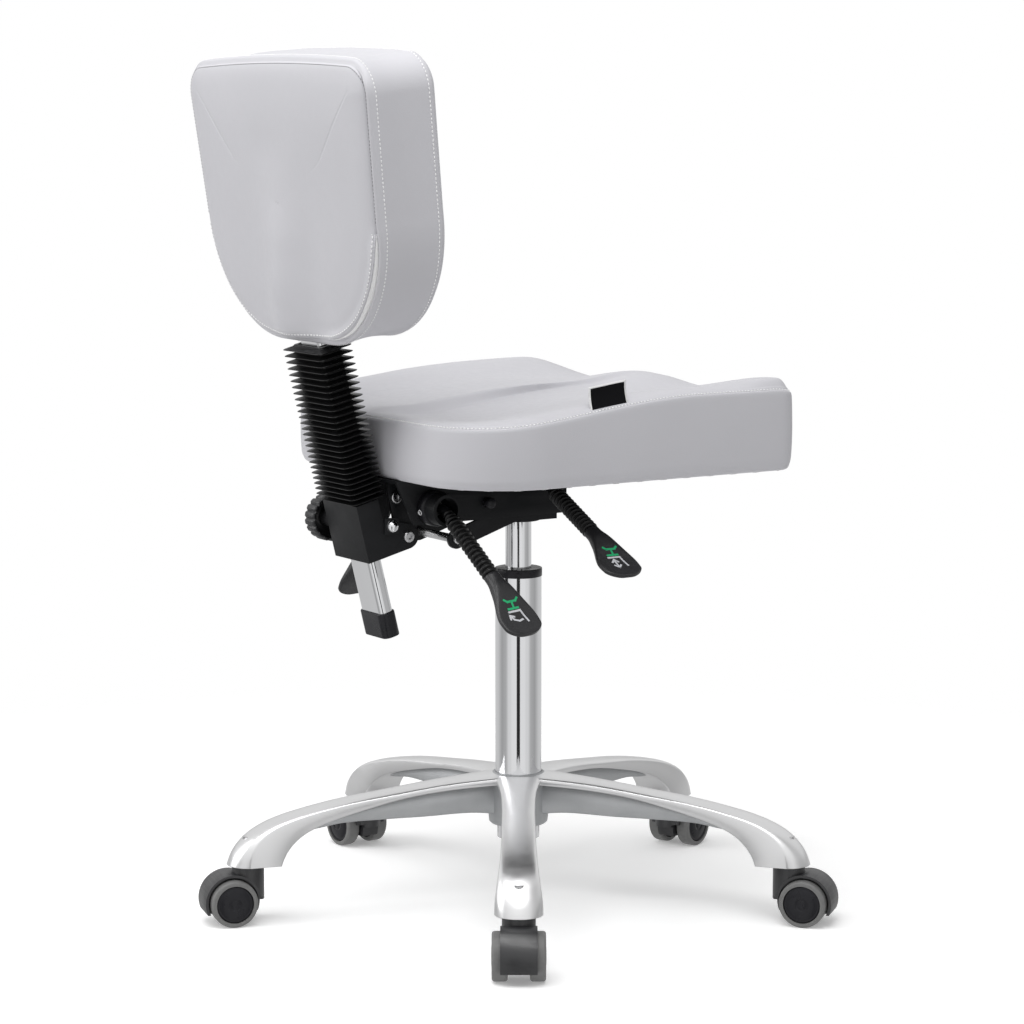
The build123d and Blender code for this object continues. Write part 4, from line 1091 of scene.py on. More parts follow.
def hose(name, profile, outline, bore, count, pitch, place, material, stretch=0.0):
    """A hose of folds, wider apart towards its end; profile holds a fold's (share of pitch, inset) pairs."""
    outer = [[(x, y, share * pitch) for x, y in outline(inset)] for share, inset in profile]
    inner = [[(x, y, share * pitch) for x, y in bore] for share in (0.0, 1.0)]
    points, faces = loft(outer, capped=False)
    more, backs = loft(inner, capped=False)
    shift = len(points)
    points += more
    faces += [tuple(shift + i for i in reversed(face)) for face in backs]
    made = piece(name, points, faces, material, recalculate=False)
    grown(STACK, made, Count=count, Step=(0.0, 0.0, pitch), Finish=material)
    work = bmesh.new()
    work.from_mesh(made.data)
    for level in (0.0, count * pitch):
        rim = [e for e in work.edges if e.is_boundary and abs(e.verts[0].co.z - level) < 1e-5]
        bmesh.ops.bridge_loops(work, edges=rim)
    bmesh.ops.recalc_face_normals(work, faces=work.faces)
    for vert in work.verts:
        share = vert.co.z / (count * pitch)
        vert.co.z += stretch * (share * share - share) * count * pitch
    work.to_mesh(made.data)
    work.free()
    made.data.transform(place)
    made.data.shade_smooth()
    return made


BELLOWS_START = 0.0402
BELLOWS_END = 0.2085
BELLOWS_RIBS = 27
BELLOWS_STRETCH = 0.12
PLEAT = [
    (0.0, 0.0096), (0.10, 0.0094), (0.24, 0.0070), (0.36, 0.0036), (0.44, 0.0010), (0.485, 0.0),
    (0.515, 0.0), (0.56, 0.0010), (0.64, 0.0036), (0.76, 0.0070), (0.90, 0.0094), (1.0, 0.0096),
]


def bellows():
    def outline(inset):
        return rounded_loop(0.0209 - inset, 0.0399 - inset, 0.0065 - inset * 0.3)

    pitch = (BELLOWS_END - BELLOWS_START) / BELLOWS_RIBS
    place = BAR_FRAME @ Matrix.Translation((0.0, 0.0, BELLOWS_START))
    bore = rounded_loop(0.0086, 0.0226, 0.0066)
    made = hose("bar_bellows", PLEAT, outline, bore, BELLOWS_RIBS, pitch, place, RUBBER, BELLOWS_STRETCH)
    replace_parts(made, "bellows")
    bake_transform(made)


bellows()


# Levers
SLEEVE_START = 0.018
SLEEVE_RIBS = 13
SLEEVE_PITCH = 0.0058
SLEEVE_RADIUS = 0.009
SLEEVE_BORE = 0.0051
PADDLE_START = SLEEVE_START + SLEEVE_RIBS * SLEEVE_PITCH
PADDLE_LENGTH = 0.078
RIB = [
    (0.0, 0.0030), (0.10, 0.0026), (0.22, 0.0012), (0.34, 0.0003), (0.5, 0.0),
    (0.66, 0.0003), (0.78, 0.0012), (0.90, 0.0026), (1.0, 0.0030),
]
LEVERS = {
    "lift": {"bend": (-0.008, -0.066, 0.4646), "side": -1.0, "slope": 26.0, "sweep": 0.0},
    "tilt": {"bend": (-0.145, -0.084, PLATE_TOP - 0.030), "side": -1.0, "slope": 40.0, "sweep": 9.0},
    "back": {"bend": (-0.109, 0.084, PLATE_TOP - 0.030), "side": 1.0, "slope": 47.0, "sweep": 9.0},
}


def lever_frame(lever):
    """Frame at a lever's bend: Z out along the slope, X forward."""
    slope, sweep = math.radians(lever["slope"]), math.radians(lever["sweep"])
    out = Vector((
        math.cos(slope) * math.sin(sweep),
        lever["side"] * math.cos(slope) * math.cos(sweep),
        -math.sin(slope),
    ))
    forward = (Vector((1.0, 0.0, 0.0)) - out * out.x).normalized()
    third = out.cross(forward)
    turn = Matrix((forward, third, out)).transposed().to_4x4()
    return Matrix.Translation(lever["bend"]) @ turn


PADDLE_HALF = [(0.0, 0.0088), (0.14, 0.0090), (0.36, 0.0142), (0.66, 0.0224), (0.84, 0.0226), (1.0, 0.0205)]
PADDLE_THICK = [(0.0, 0.0086), (0.16, 0.0082), (0.4, 0.0052), (0.7, 0.0036), (1.0, 0.0030)]
PADDLE_STEPS = 40


def paddle_half(share):
    """Half width of a paddle from its neck to its end."""
    wide = curve_through(PADDLE_HALF, share)
    end = max(share - 0.82, 0.0) / 0.18
    return wide * math.sqrt(max(1.0 - end**2.6, 0.0))


def paddle_skin(place, up):
    """Spoon-shaped paddle: round at the neck, flat and dished towards its end, with a soft rim."""
    rings = []
    tip = list(0.8 + 0.2 * np.sin(np.linspace(0.08, 0.5, 14) * math.pi))
    for share in list(np.linspace(0.0, 0.8, 27)) + tip:
        half = max(paddle_half(share), 0.0004)
        thick = curve_through(PADDLE_THICK, share)
        thick *= min(1.0, 0.35 + half / 0.016)
        dish = 0.0014 * smooth((share - 0.4) / 0.25)
        drop = 0.004 * smooth((share - 0.25) / 0.5)
        power = 2.0 + 2.6 * smooth(share / 0.45)
        ring = []
        for k in range(PADDLE_STEPS):
            angle = 2.0 * math.pi * k / PADDLE_STEPS
            c, s = math.cos(angle), math.sin(angle)
            x = half * math.copysign(abs(c) ** (2.0 / power), c)
            y = thick * math.copysign(abs(s) ** (2.0 / power), s)
            if s > 0:
                y -= dish * (1.0 - (x / half) ** 4) * min(1.0, half / 0.012)
            ring.append(place @ Vector((x, up * (y - drop), share * PADDLE_LENGTH)))
        rings.append(ring)
    return loft(rings)


INK_PROUD = 0.00018
INK_ROOT = 0.0004
INK_CELL = 1.5
MILLIMETRE = 0.001
ABOVE_PADDLE = 0.05


def stroke(points, width, cover, place, up):
    """Printed line on a paddle's face through (across, along) points in millimetres."""
    corners, faces = [], []
    for (a0, b0), (a1, b1) in zip(points, points[1:]):
        run = Vector((a1 - a0, b1 - b0))
        side = Vector((-run.y, run.x)).normalized() * width / 2.0
        tip = run.normalized() * width / 2.0
        cells = max(2, int(run.length / INK_CELL))
        start = len(corners)
        for i in range(cells + 1):
            mid = Vector((a0, b0)) - tip + (run + tip * 2.0) * (i / cells)
            for sign in (1.0, -1.0):
                spot = mid + side * sign
                begin = place @ Vector((spot.x * MILLIMETRE, up * ABOVE_PADDLE, spot.y * MILLIMETRE))
                down = (place.to_3x3() @ Vector((0.0, -up, 0.0))).normalized()
                found = cover.ray_cast(begin, down)
                if found[0] is None:
                    return [], []
                corners.append(found[0] - down * INK_PROUD)
                corners.append(found[0] + down * INK_ROOT)
        for i in range(cells):
            a, b = start + 4 * i, start + 4 * (i + 1)
            faces += [(a, a + 2, b + 2, b), (a + 1, b + 1, b + 3, a + 3)]
            faces += [(a, b, b + 1, a + 1), (a + 2, a + 3, b + 3, b + 2)]
        faces += [(start, start + 1, start + 3, start + 2), (b, b + 2, b + 3, b + 1)]
    return corners, faces


# Signs on the paddles, as lines of (across, along) points in millimetres
CHAIR = {
    "green": [
        [(-8.0, 35.0), (-5.0, 37.5), (5.0, 37.5), (8.0, 35.0)],
        [(0.0, 37.5), (0.0, 45.0)],
        [(-7.0, 45.0), (5.0, 45.0)],
    ],
    "white": [[(-8.0, 48.2), (6.0, 48.2), (8.5, 62.0)]],
}
MARKS = {
    "lift": [
        [(-3.0, 51.5), (-3.0, 64.0)],
        [(-6.5, 60.5), (-3.0, 64.2), (0.5, 60.5)],
        [(-6.5, 55.0), (-3.0, 51.3), (0.5, 55.0)],
    ],
    "tilt": [
        [(-9.0, 52.5), (-6.5, 57.5), (-1.5, 60.0), (3.0, 59.0)],
        [(-10.4, 56.5), (-9.2, 52.0), (-5.0, 54.0)],
    ],
    "back": [[(-3.0, 52.0), (0.0, 58.5), (-1.0, 65.0)], [(-5.0, 62.6), (-1.2, 65.6), (1.6, 61.8)]],
}


def printed(name, lines, width, cover, place, up, material, body):
    points, faces = [], []
    for line in lines:
        corners, sides = stroke(line, width, cover, place, up)
        shift = len(points)
        points += corners
        faces += [tuple(shift + i for i in face) for face in sides]
    made = piece(name, points, faces, material, flat=True)
    settle(made, body, "black_plastic")


CUFF_RIBS = (0.0058, 0.0066, 0.0080)
CUFF_PITCH = 0.0050


def lever_cuff(name, bend, body):
    """Narrowing ribs that carry a sleeve on into its boss and leave room there for the lever to rock."""
    rings = []
    start = SLEEVE_START - CUFF_PITCH * len(CUFF_RIBS)
    for k, crest in enumerate(CUFF_RIBS):
        for share, inset in RIB[:-1]:
            level = start + (k + share) * CUFF_PITCH
            rings.append([bend @ Vector((x, y, level)) for x, y in round_loop(crest - 0.5 * inset)])
    settle(piece(name, *loft(rings), RUBBER), body, "black_rubber")


def lever(label):
    facts = LEVERS[label]
    body = f"{label}_lever"
    bend = lever_frame(facts)
    up = 1.0 if facts["side"] < 0 else -1.0

    def outline(inset):
        return round_loop(SLEEVE_RADIUS - inset)

    place = bend @ Matrix.Translation((0.0, 0.0, SLEEVE_START))
    bore = round_loop(SLEEVE_BORE)
    sleeve = hose(f"{label}_lever_ribs", RIB, outline, bore, SLEEVE_RIBS, SLEEVE_PITCH, place, RUBBER)
    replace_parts(sleeve, f"{label}_lever_sleeve")
    settle(sleeve, body, "black_rubber")
    if facts["sweep"]:
        lever_cuff(f"{label}_lever_cuff", bend, body)
    place = bend @ Matrix.Translation((0.0, 0.0, PADDLE_START + 0.0003))
    paddle = piece(f"{label}_lever_spoon", *paddle_skin(place, up), GRAINED)
    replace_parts(paddle, f"{label}_lever_paddle")
    settle(paddle, body, "black_plastic")
    cover = surface_of(paddle)
    printed(f"{label}_lever_green_mark", CHAIR["green"], 2.3, cover, place, up, GREEN_INK, body)
    lines = CHAIR["white"] + MARKS[label]
    printed(f"{label}_lever_white_mark", lines, 2.1, cover, place, up, WHITE_INK, body)


for label in LEVERS:
    lever(label)


# Five-arm base
ARM_TOP = [
    (0.0, 0.1423), (0.025, 0.1420), (0.080, 0.1385), (0.131, 0.1330), (0.198, 0.1240), (0.243, 0.1155),
    (0.270, 0.1085), (0.288, 0.1015), (0.302, 0.0935), (0.313, 0.0835), (0.320, 0.0735), (0.3245, 0.0623),
]
ARM_UNDER = [
    (0.0, 0.1335), (0.025, 0.1330), (0.080, 0.1300), (0.131, 0.1243), (0.180, 0.1140), (0.215, 0.1050),
    (0.236, 0.0975), (0.249, 0.0905), (0.258, 0.0830), (0.264, 0.0760), (0.268, 0.0690), (0.2705, 0.0623),
]
# Share of the way along at which the bands start, clear of the gas lift inside the hub
ARM_ROOT = 0.075
CROWN_SHARE = 0.985
ARM_HALF = [0.026, 0.0235, 0.0185, 0.0170, 0.0170, 0.0176, 0.0186, 0.0198, 0.0212, 0.0226, 0.0236, 0.0240]
ARM_CROWN = [0.002, 0.0022, 0.0026, 0.0030, 0.0036, 0.0046, 0.0058, 0.0076, 0.0104, 0.0140, 0.0180, 0.0215]


def along(values, share):
    """A value or point at a share of the way along a list, joined smoothly."""
    place = share * (len(values) - 1)
    if isinstance(values[0], tuple):
        return tuple(curve_through(list(enumerate(row)), place) for row in zip(*values))
    return curve_through(list(enumerate(values)), place)


def arm_skin():
    """One polished band, from the hub to the sole over the caster."""
    rings = []
    for share in np.linspace(ARM_ROOT, 1.0, 61):
        (r0, z0), (r1, z1) = along(ARM_TOP, share), along(ARM_UNDER, share)
        half, crown = along(ARM_HALF, share), along(ARM_CROWN, share)
        down = Vector((r1 - r0, 0.0, z1 - z0))
        depth = down.length
        down.normalize()
        top = Vector((r0, 0.0, z0))
        round_over = 0.0016
        ring = []
        for v in np.linspace(-1.0, 1.0, 23):
            drop = crown * (1.0 - math.sqrt(max(1.0 - (CROWN_SHARE * v) ** 2, 0.0)))
            ring.append(top + down * drop + Vector((0.0, half * v, 0.0)))
        edge = crown * (1.0 - math.sqrt(1.0 - CROWN_SHARE**2))
        span = depth - edge
        flank = [(0.0006, round_over * 0.6), (0.0011, round_over * 1.6), (0.0012, span * 0.5)]
        flank += [(0.0010, span - 0.0018), (0.0004, span - 0.0006), (-0.0010, span)]
        for push, fall in flank:
            ring.append(top + down * (edge + fall) + Vector((0.0, half + push * 0.6, 0.0)))
        for push, fall in reversed(flank):
            ring.append(top + down * (edge + fall) - Vector((0.0, half + push * 0.6, 0.0)))
        rings.append(ring)
    return loft(rings)


WEB_LOW = [(0.0, 0.0955), (0.055, 0.1015), (0.11, 0.1010), (0.15, 0.1012), (0.20, 0.1005), (0.240, 0.0955)]
WEB_START = 0.020
WEB_END = 0.240


def web_skin():
    """The recessed cast web under one band."""
    rings = []
    for share in np.linspace(0.0, 1.0, 31):
        reach = WEB_START + (WEB_END - WEB_START) * share
        under = curve_through(ARM_UNDER, reach) + 0.002
        low = min(curve_through(WEB_LOW, reach), under - 0.0015)
        half = 0.0105 - 0.0015 * share
        ring = [(-half, under), (half, under), (half, low + 0.002)]
        ring += [(half - 0.0015, low), (0.0015 - half, low), (-half, low + 0.002)]
        rings.append([(reach, y, z) for y, z in ring])
    return loft(rings)


HUB_PROFILE = [
    (0.0232, 0.0863), (0.0300, 0.0863), (0.0318, 0.0881), (0.0324, 0.0930), (0.0326, 0.1340),
    (0.0318, 0.1375), (0.0300, 0.1400), (0.0275, 0.1425), (0.0257, 0.1430), (0.02515, 0.1423),
    (0.0232, 0.0863),
]


def base():
    arms = piece("base_bands", *arm_skin(), ALUMINIUM)
    grown(RING, arms, Count=ARM_COUNT, Turn=ARM_TURN, Finish=ALUMINIUM)
    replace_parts(arms, "base_star")
    settle(arms, "base", "polished_aluminium")
    webs = piece("base_webs", *web_skin(), CAST)
    grown(RING, webs, Count=ARM_COUNT, Turn=ARM_TURN, Finish=CAST)
    settle(webs, "base", "polished_aluminium")
    points, faces = turned(HUB_PROFILE, 72)
    hub = piece("base_hub", points, faces[:-2], CAST)
    settle(hub, "base", "polished_aluminium")


base()


# Casters
def along_axis(origin, direction):
    """Frame with its Z along a direction."""
    turn = direction.to_track_quat("Z", "Y").to_matrix().to_4x4()
    return Matrix.Translation(origin) @ turn


def middle(node):
    low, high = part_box(node)
    return (low + high) / 2.0


DISC = [
    (0.0040, 0.0112), (0.0186, 0.0112), (0.0198, 0.0124), (0.0198, 0.0246), (0.0193, 0.0256),
    (0.0182, 0.0261), (0.0176, 0.0258), (0.0168, 0.0258), (0.0158, 0.0264), (0.0120, 0.0271),
    (0.0080, 0.0274), (0.0066, 0.0274), (0.0060, 0.0269), (0.0052, 0.0268), (0.0046, 0.0271),
    (0.0020, 0.0273), (0.0004, 0.0273),
]


def casters():
    for number in range(1, ARM_COUNT + 1):
        hood = softened(f"caster_{number}_hood", 0.0011, SATIN, f"caster_{number}_cover")
        settle(hood, f"caster_{number}", "black_plastic")
        ends = {side: middle(f"caster_{number}_wheel_{side}") for side in ("left", "right")}
        centre = (ends["left"] + ends["right"]) / 2.0
        for side, end in ends.items():
            place = along_axis(centre, (end - centre).normalized())
            disc = piece(f"caster_{number}_disc_{side}", *turned(DISC, 56, place), SMOOTH)
            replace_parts(disc, f"caster_{number}_wheel_{side}")
            settle(disc, f"wheel_{number}_{side}", "black_plastic")


casters()

# Folded plates and castings under the seat
ROUNDED = [
    ("seat_plate", 0.0011, POWDER, "seat", "black_powder"),
    ("tilt_housing", 0.0014, POWDER, "lift", "black_powder"),
    ("back_bracket", 0.0012, POWDER, "back", "black_powder"),
    ("guide_bush", 0.0008, SMOOTH, "base", "black_plastic"),
    ("bar_end_cap", 0.0016, SMOOTH, "bar", "black_plastic"),
]
for node, width, material, body, slot in ROUNDED:
    settle(softened(node, width, material, f"{node}_rounded"), body, slot)


# Fasteners
def socket_head(name, radius, height, key, depth):
    """Cap head with a hexagon socket, standing on the origin and facing up."""
    steps = 36
    rings = []
    cap = ((1.0, 0.0), (1.0, 0.72), (0.96, 0.90), (0.86, 1.0))
    for wide, high in cap:
        rings.append([(x, y, height * high) for x, y in round_loop(radius * wide, steps)])
    for size, z in ((key * 1.08, height), (key, height - 0.0004), (key, height - depth)):
        ring = []
        for i in range(steps):
            angle = 2.0 * math.pi * i / steps
            r = size / math.cos((angle + math.pi / 6.0) % (math.pi / 3.0) - math.pi / 6.0)
            ring.append((r * math.cos(angle), r * math.sin(angle), z))
        rings.append(ring)
    made = piece(name, *loft(rings), STEEL)
    made.data.set_sharp_from_angle(angle=math.radians(40.0))
    return made


FLANGE_FACE = 0.0603


def both_sides(x, z, reach):
    """Places at a reach on the right and on the left, each with its way out."""
    return [((x, -reach, z), RIGHT), ((x, reach, z), LEFT)]


def bolt_heads():
    head = socket_head("cap_head", 0.006, 0.004, 0.0026, 0.0022)
    under = [((x, y, PLATE_UNDER), DOWN) for x in (-0.1265, 0.012) for y in (-0.042, 0.042)]
    lugs = both_sides(-0.173, PLATE_TOP - 0.0205, 0.0314)
    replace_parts(bolted("seat_bolt_heads", under + lugs, head, STEEL, "seat", "steel"), "seat_bolts")
    tilt = both_sides(TILT_PIVOT.x, TILT_PIVOT.z, FLANGE_FACE)
    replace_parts(bolted("tilt_bolt_heads", tilt, head, STEEL, "lift", "steel"), "tilt_pins")
    pivot = both_sides(BACK_PIVOT.x, BACK_PIVOT.z, 0.035)
    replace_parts(bolted("pivot_bolt_heads", pivot, head, STEEL, "back", "chrome"), "bracket_bolts")
    bpy.data.objects.remove(head)


# Turned trim as (radius, height) pairs
SHANK = [(0.0004, 0.0236), (0.0040, 0.0236), (0.0045, 0.0241), (0.0045, FLANGE_FACE), (0.0004, FLANGE_FACE)]
CROSS_PIN = [
    (0.0004, -0.044), (0.0037, -0.044), (0.0045, -0.0432), (0.0045, 0.0432), (0.0037, 0.044), (0.0004, 0.044),
]
BOLT_CORE = [(0.0004, 0.0), (0.0024, 0.0), (0.0024, 0.0024), (0.0020, 0.0028), (0.0004, 0.0029)]
DOME_ANGLES = np.radians([4, 18, 34, 50, 66, 80, 88])
STOP_DOME = [(0.0070, -0.0002), (0.0070, 0.0008)]
STOP_DOME += [(0.0068 * math.cos(a), 0.0010 + 0.0060 * math.sin(a)) for a in DOME_ANGLES]
STUB = [
    (0.0004, -0.0002), (0.0054, -0.0002), (0.0056, 0.0004), (0.0056, 0.0085), (0.0048, 0.0098),
    (0.0004, 0.0100),
]
BOSS_RING = [
    (0.0088, 0.0040), (0.0130, 0.0040), (0.0130, -0.0002), (0.0182, -0.0002), (0.0186, 0.0004),
    (0.0186, 0.0096), (0.0178, 0.0108), (0.0130, 0.0108), (0.0130, 0.0060), (0.0088, 0.0060),
    (0.0088, 0.0040),
]
GRUB = [(0.0004, 0.0), (0.0030, 0.0), (0.0030, 0.0012), (0.0025, 0.0016), (0.0016, 0.0012), (0.0004, 0.0010)]
DIMPLE = [
    (0.0004, 0.0006), (0.0010, 0.0005), (0.0017, -0.0001), (0.0022, 0.0), (0.0024, -0.0006),
    (0.0004, -0.0008),
]


def turned_trim(name, profile, steps, origin, direction, material, body, slot):
    """A turned solid that stands on a place and points in a direction."""
    place = along_axis(Vector(origin), direction)
    settle(piece(name, *turned(profile, steps, place), material), body, slot)


def pins():
    ears = (-0.103, 0.0, PLATE_TOP - 0.069)
    core_foot = (TILT_PIVOT.x, -0.0620, TILT_PIVOT.z)
    turned_trim("tilt_shank_right", SHANK, 32, TILT_PIVOT, RIGHT, STEEL, "lift", "steel")
    turned_trim("tilt_shank_left", SHANK, 32, TILT_PIVOT, LEFT, STEEL, "lift", "steel")
    turned_trim("ear_cross_pin", CROSS_PIN, 32, ears, LEFT, STEEL, "lift", "steel")
    turned_trim("tilt_bolt_core", BOLT_CORE, 24, core_foot, RIGHT, BRASS, "lift", "steel")
    turned_trim("stop_dome", STOP_DOME, 40, (-0.1808, -0.038, CLAMP.z), RIGHT, CHROME, "back", "chrome")
    turned_trim("flange_stub", STUB, 32, (-0.078, -0.060, 0.449), RIGHT, SMOOTH, "seat", "black_plastic")


def boss_trim():
    """The ring at the foot of each lever's boss, and the small screw in it."""
    for label, way in (("tilt", RIGHT), ("back", LEFT)):
        bend = Vector(LEVERS[label]["bend"])
        foot = Vector((bend.x, 0.060 * way.y, bend.z))
        points, faces = turned(BOSS_RING, 56, along_axis(foot, way))
        settle(piece(f"{label}_boss_ring", points, faces[:-2], SMOOTH), "seat", "black_powder")
        out = (Vector((-0.85, 0.0, -0.15)) + way * 0.25).normalized()
        spot = foot + way * 0.0055 + Vector((-0.0182, 0.0, -0.0032))
        turned_trim(f"{label}_boss_screw", GRUB, 24, spot, out, STEEL, "seat", "steel")


bolt_heads()
pins()
boss_trim()


# Clamp knob
KNOB_RADIUS = 0.0248
KNOB_FLUTES = 18
# Radius, reach from the bar's middle and share of the flutes' depth
KNOB_PROFILE = [
    (0.0042, 0.0576, 0.0), (0.0042, 0.0400, 0.0), (0.0086, 0.0400, 0.0), (0.0095, 0.0410, 0.0),
    (0.0098, 0.0630, 0.0), (0.0110, 0.0642, 0.0), (0.0200, 0.0642, 0.0), (0.0212, 0.0630, 0.0),
    (0.0216, 0.0508, 0.0), (0.0222, 0.0502, 0.3), (0.0236, 0.0502, 0.9), (0.0244, 0.0510, 1.0),
    (KNOB_RADIUS, 0.0525, 1.0), (KNOB_RADIUS, 0.0660, 1.0), (0.0244, 0.0684, 1.0), (0.0232, 0.0696, 0.8),
    (0.0214, 0.0700, 0.2), (0.0170, 0.0698, 0.0), (0.0090, 0.0694, 0.0), (0.0004, 0.0693, 0.0),
]


def knob():
    """Hollow fluted cup that opens towards the bracket, with a boss for the screw."""
    steps = KNOB_FLUTES * 10
    rings = []
    for radius, reach, fluted in KNOB_PROFILE:
        ring = []
        for i in range(steps):
            angle = 2.0 * math.pi * i / steps
            groove = max(0.0, math.cos(KNOB_FLUTES * angle)) ** 1.4 * 0.0019 * fluted
            r = radius - groove
            ring.append(CLAMP + Vector((r * math.cos(angle), reach, r * math.sin(angle))))
        rings.append(ring)
    made = piece("clamp_knob_cup", *loft(rings), GRAINED)
    made.data.set_sharp_from_angle(angle=math.radians(50.0))
    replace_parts(made, "clamp_knob")
    settle(made, "knob", "black_plastic")


knob()


# Small trim
LABEL_X = -0.0185
LABEL_Y = -0.1980
LABEL_HALF = 0.0210
LABEL_HEIGHT = 0.0225


def seat_label():
    """A blank folded tab sewn into the seat's right seam, black with a pale edge."""
    across = np.linspace(-1, 1, 11)
    outline = [(s, 1) for s in across] + [(s, -1) for s in reversed(across)]

    def tab(name, material, spread, grow):
        rings = []
        for share in np.linspace(0.0, 1.0, 13):
            lean = 0.0040 * math.sin(1.9 * share) + 0.0010 * share
            row = []
            for place, side in outline:
                x = LABEL_X + (LABEL_HALF + grow) * place
                wave = 0.0009 * math.sin(2.2 * place + 0.6) * share
                y = LABEL_Y + lean + wave + side * spread
                z = foot(x) - 0.0015 + (LABEL_HEIGHT + grow) * share
                row.append((x, y, z))
            rings.append(row)
        return piece(name, *loft(rings), material)

    def foot(x):
        return SEAT_COVER.ray_cast(Vector((x, LABEL_Y, ABOVE_SEAT)), DOWN)[0].z

    settle(tab("seat_label_edge", LINING, 0.00035, 0.0020), "seat", "leatherette")
    settle(tab("seat_label_face", LABEL, 0.00065, 0.0), "seat", "leatherette")


seat_label()


def underside_staples():
    path = [(x, y, PLATE_TOP - 0.0001) for x, y in seat_loop(0.0112)]
    stitched("seat_hem_staples", path, 0.030, STEEL, "seat", "leatherette", thick=0.0005, reach=0.0052)


underside_staples()


def collar_dimple():
    facing = Vector((-math.sin(PHOTO_TURN), -math.cos(PHOTO_TURN), 0.0))
    spot = Vector((0.0, 0.0, 0.3618)) + facing * 0.0258
    turned_trim("collar_dimple", DIMPLE, 24, spot, facing, SMOOTH, "base", "black_plastic")


collar_dimple()

# Finishes of the solids that show as they are
SHOWN = [
    (CHROME, ["column_tube", "gas_cylinder", "piston_rod", "back_bar"]),
    (STEEL, ["thrust_bearing", "clamp_screw"] + [f"caster_{k}_pins" for k in range(1, ARM_COUNT + 1)]),
    (TREAD, [f"caster_{k}_tread_{side}" for k in range(1, ARM_COUNT + 1) for side in ("left", "right")]),
    (BOARD, ["seat_board", "back_board"]),
    (POWDER, ["lift_lever_rod", "tilt_lever_rod", "back_lever_rod"]),
]
for material, names in SHOWN:
    for name in names:
        for entry in nodes[name].material_slots:
            entry.material = material


# Studio: the camera as solved from the photo, and what the mirrors see
CAMERA_PLACE = (-1.8568, -2.8482, 0.8851)
CAMERA_DOWN = 7.686
CAMERA_HEADING = PHOTO_TURN - 0.002
CAMERA_LENS = 112.15
TO_CAMERA = (-0.545, -0.838)
ROOM = ((0.0, 0.85), (0.25, 0.80), (0.50, 0.50), (0.72, 0.60), (0.82, 0.95), (1.0, 1.0))
HORIZON = ((0.0, 0.62), (0.42, 0.80), (0.505, 0.82), (0.518, 0.20), (0.535, 0.20), (0.56, 0.95), (1.0, 1.0))
DIFFUSE_LEVEL = 0.47


def camera():
    data = bpy.data.cameras.new("photo_camera")
    data.sensor_width = 36.0
    data.sensor_fit = "HORIZONTAL"
    data.lens = CAMERA_LENS
    made = bpy.data.objects.new("photo_camera", data)
    bpy.context.scene.collection.objects.link(made)
    made.location = CAMERA_PLACE
    made.rotation_euler = (math.radians(90.0 - CAMERA_DOWN), 0.0, -CAMERA_HEADING)
    bpy.context.scene.camera = made


def softbox(name, place, target, size, power):
    data = bpy.data.lights.new(name, "AREA")
    data.shape = "RECTANGLE"
    data.size, data.size_y = size
    data.energy = power
    made = bpy.data.objects.new(name, data)
    made.location = place
    made.rotation_euler = (Vector(target) - Vector(place)).to_track_quat("-Z", "Y").to_euler()
    bpy.context.scene.collection.objects.link(made)


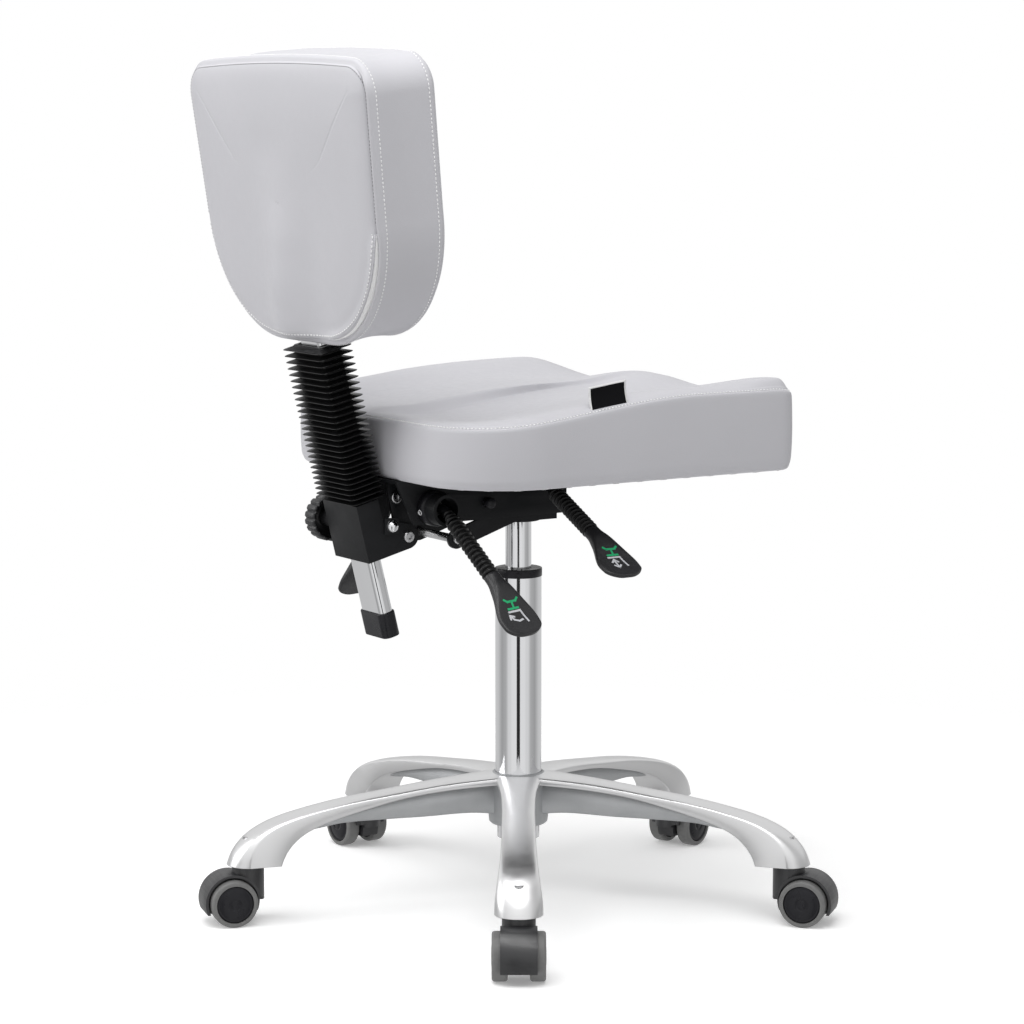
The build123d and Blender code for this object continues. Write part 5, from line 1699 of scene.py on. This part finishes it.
def surroundings():
    """White to look at; mirrors see a pale room with dim flanks, a dark stand and a thin dark horizon."""
    world = bpy.data.worlds.new("studio")
    bpy.context.scene.world = world
    world.use_nodes = True
    tree = world.node_tree

    def maths(operation, *values):
        made = tree.nodes.new("ShaderNodeMath")
        made.operation = operation
        for entry, value in zip(made.inputs, values):
            if isinstance(value, (int, float)):
                entry.default_value = value
            else:
                tree.links.new(value, entry)
        return made.outputs[0]

    def step(value, start, end):
        made = tree.nodes.new("ShaderNodeMapRange")
        made.interpolation_type = "SMOOTHSTEP"
        made.inputs["From Min"].default_value = start
        made.inputs["From Max"].default_value = end
        tree.links.new(value, made.inputs["Value"])
        return made.outputs["Result"]

    def ramp(value, stops):
        made = tree.nodes.new("ShaderNodeValToRGB")
        elements = made.color_ramp.elements
        for place, _ in stops[1:-1]:
            elements.new(place)
        for element, (place, bright) in zip(elements, stops):
            element.position = place
            element.color = (bright, bright, bright, 1.0)
        tree.links.new(value, made.inputs["Fac"])
        return made.outputs["Color"]

    split = tree.nodes.new("ShaderNodeSeparateXYZ")
    tree.links.new(tree.nodes.new("ShaderNodeTexCoord").outputs["Generated"], split.inputs[0])
    x, y, z = split.outputs
    level = maths("SQRT", maths("ADD", maths("MULTIPLY", x, x), maths("MULTIPLY", y, y)))
    ahead = maths("ADD", maths("MULTIPLY", x, TO_CAMERA[0]), maths("MULTIPLY", y, TO_CAMERA[1]))
    turn = maths("MULTIPLY_ADD", maths("DIVIDE", ahead, level), 0.5, 0.5)
    room = ramp(turn, ROOM)
    stand = maths("MULTIPLY", step(turn, 0.9925, 0.9966), step(z, 0.08, 0.0))
    rise = maths("MULTIPLY_ADD", z, 0.5, 0.5)
    horizon = maths("MAXIMUM", ramp(rise, HORIZON), maths("MULTIPLY", step(turn, 0.80, 0.92), 0.86))
    around = maths("MULTIPLY", maths("MULTIPLY", room, horizon), maths("MULTIPLY_ADD", stand, -0.97, 1.0))
    path = tree.nodes.new("ShaderNodeLightPath").outputs
    change = maths("SUBTRACT", around, DIFFUSE_LEVEL)
    mirrored = maths("MULTIPLY_ADD", path["Is Glossy Ray"], change, DIFFUSE_LEVEL)
    seen = maths("MAXIMUM", path["Is Camera Ray"], path["Is Transmission Ray"])
    bright = maths("MULTIPLY_ADD", seen, maths("SUBTRACT", 1.0, mirrored), mirrored)
    tree.links.new(bright, tree.nodes["Background"].inputs["Strength"])
    tree.nodes["Background"].inputs["Color"].default_value = (1.0, 1.0, 1.0, 1.0)


def floor():
    """Pale floor round the object, which fades into the white surroundings."""
    finish = Finish("white_floor", (0.93, 0.93, 0.93), 0.9)
    finish.set(Specular_IOR_Level=0.1, Emission_Color=(1.0, 1.0, 1.0, 1.0), Emission_Strength=0.24)
    finish.colour(finish.mix(finish.noise(3.0), (0.925, 0.925, 0.925), (0.935, 0.935, 0.935)))
    away = finish.node("ShaderNodeVectorMath", operation="LENGTH")
    finish.link(finish.place, away.inputs[0])
    fade = finish.node("ShaderNodeMapRange")
    fade.interpolation_type = "SMOOTHSTEP"
    for key, value in (("From Min", 0.45), ("From Max", 1.3), ("To Min", 1.0), ("To Max", 0.0)):
        fade.inputs[key].default_value = value
    finish.link(away.outputs["Value"], fade.inputs["Value"])
    finish.link(fade.outputs["Result"], finish.shader.inputs["Alpha"])
    reach = 1.4
    corners = [(-reach, -reach, 0.0), (reach, -reach, 0.0), (reach, reach, 0.0), (-reach, reach, 0.0)]
    ground = piece("studio_floor", corners, [(0, 1, 2, 3)], finish.material, recalculate=False)
    ground.visible_glossy = False


camera()
softbox("key", (-0.9, -0.3, 3.1), (0.0, 0.0, 0.4), (2.4, 2.4), 58.0)
softbox("left_fill", (-2.6, 1.6, 1.5), (0.0, 0.0, 0.45), (2.0, 2.0), 40.0)
softbox("right_fill", (2.2, -2.2, 1.4), (0.0, 0.0, 0.45), (2.0, 2.0), 1.0)
softbox("upper_right", (-0.45, -1.1, 1.75), (-0.26, -0.19, 0.85), (0.8, 0.8), 6.5)
surroundings()
floor()
bpy.context.scene.view_settings.view_transform = "Standard"
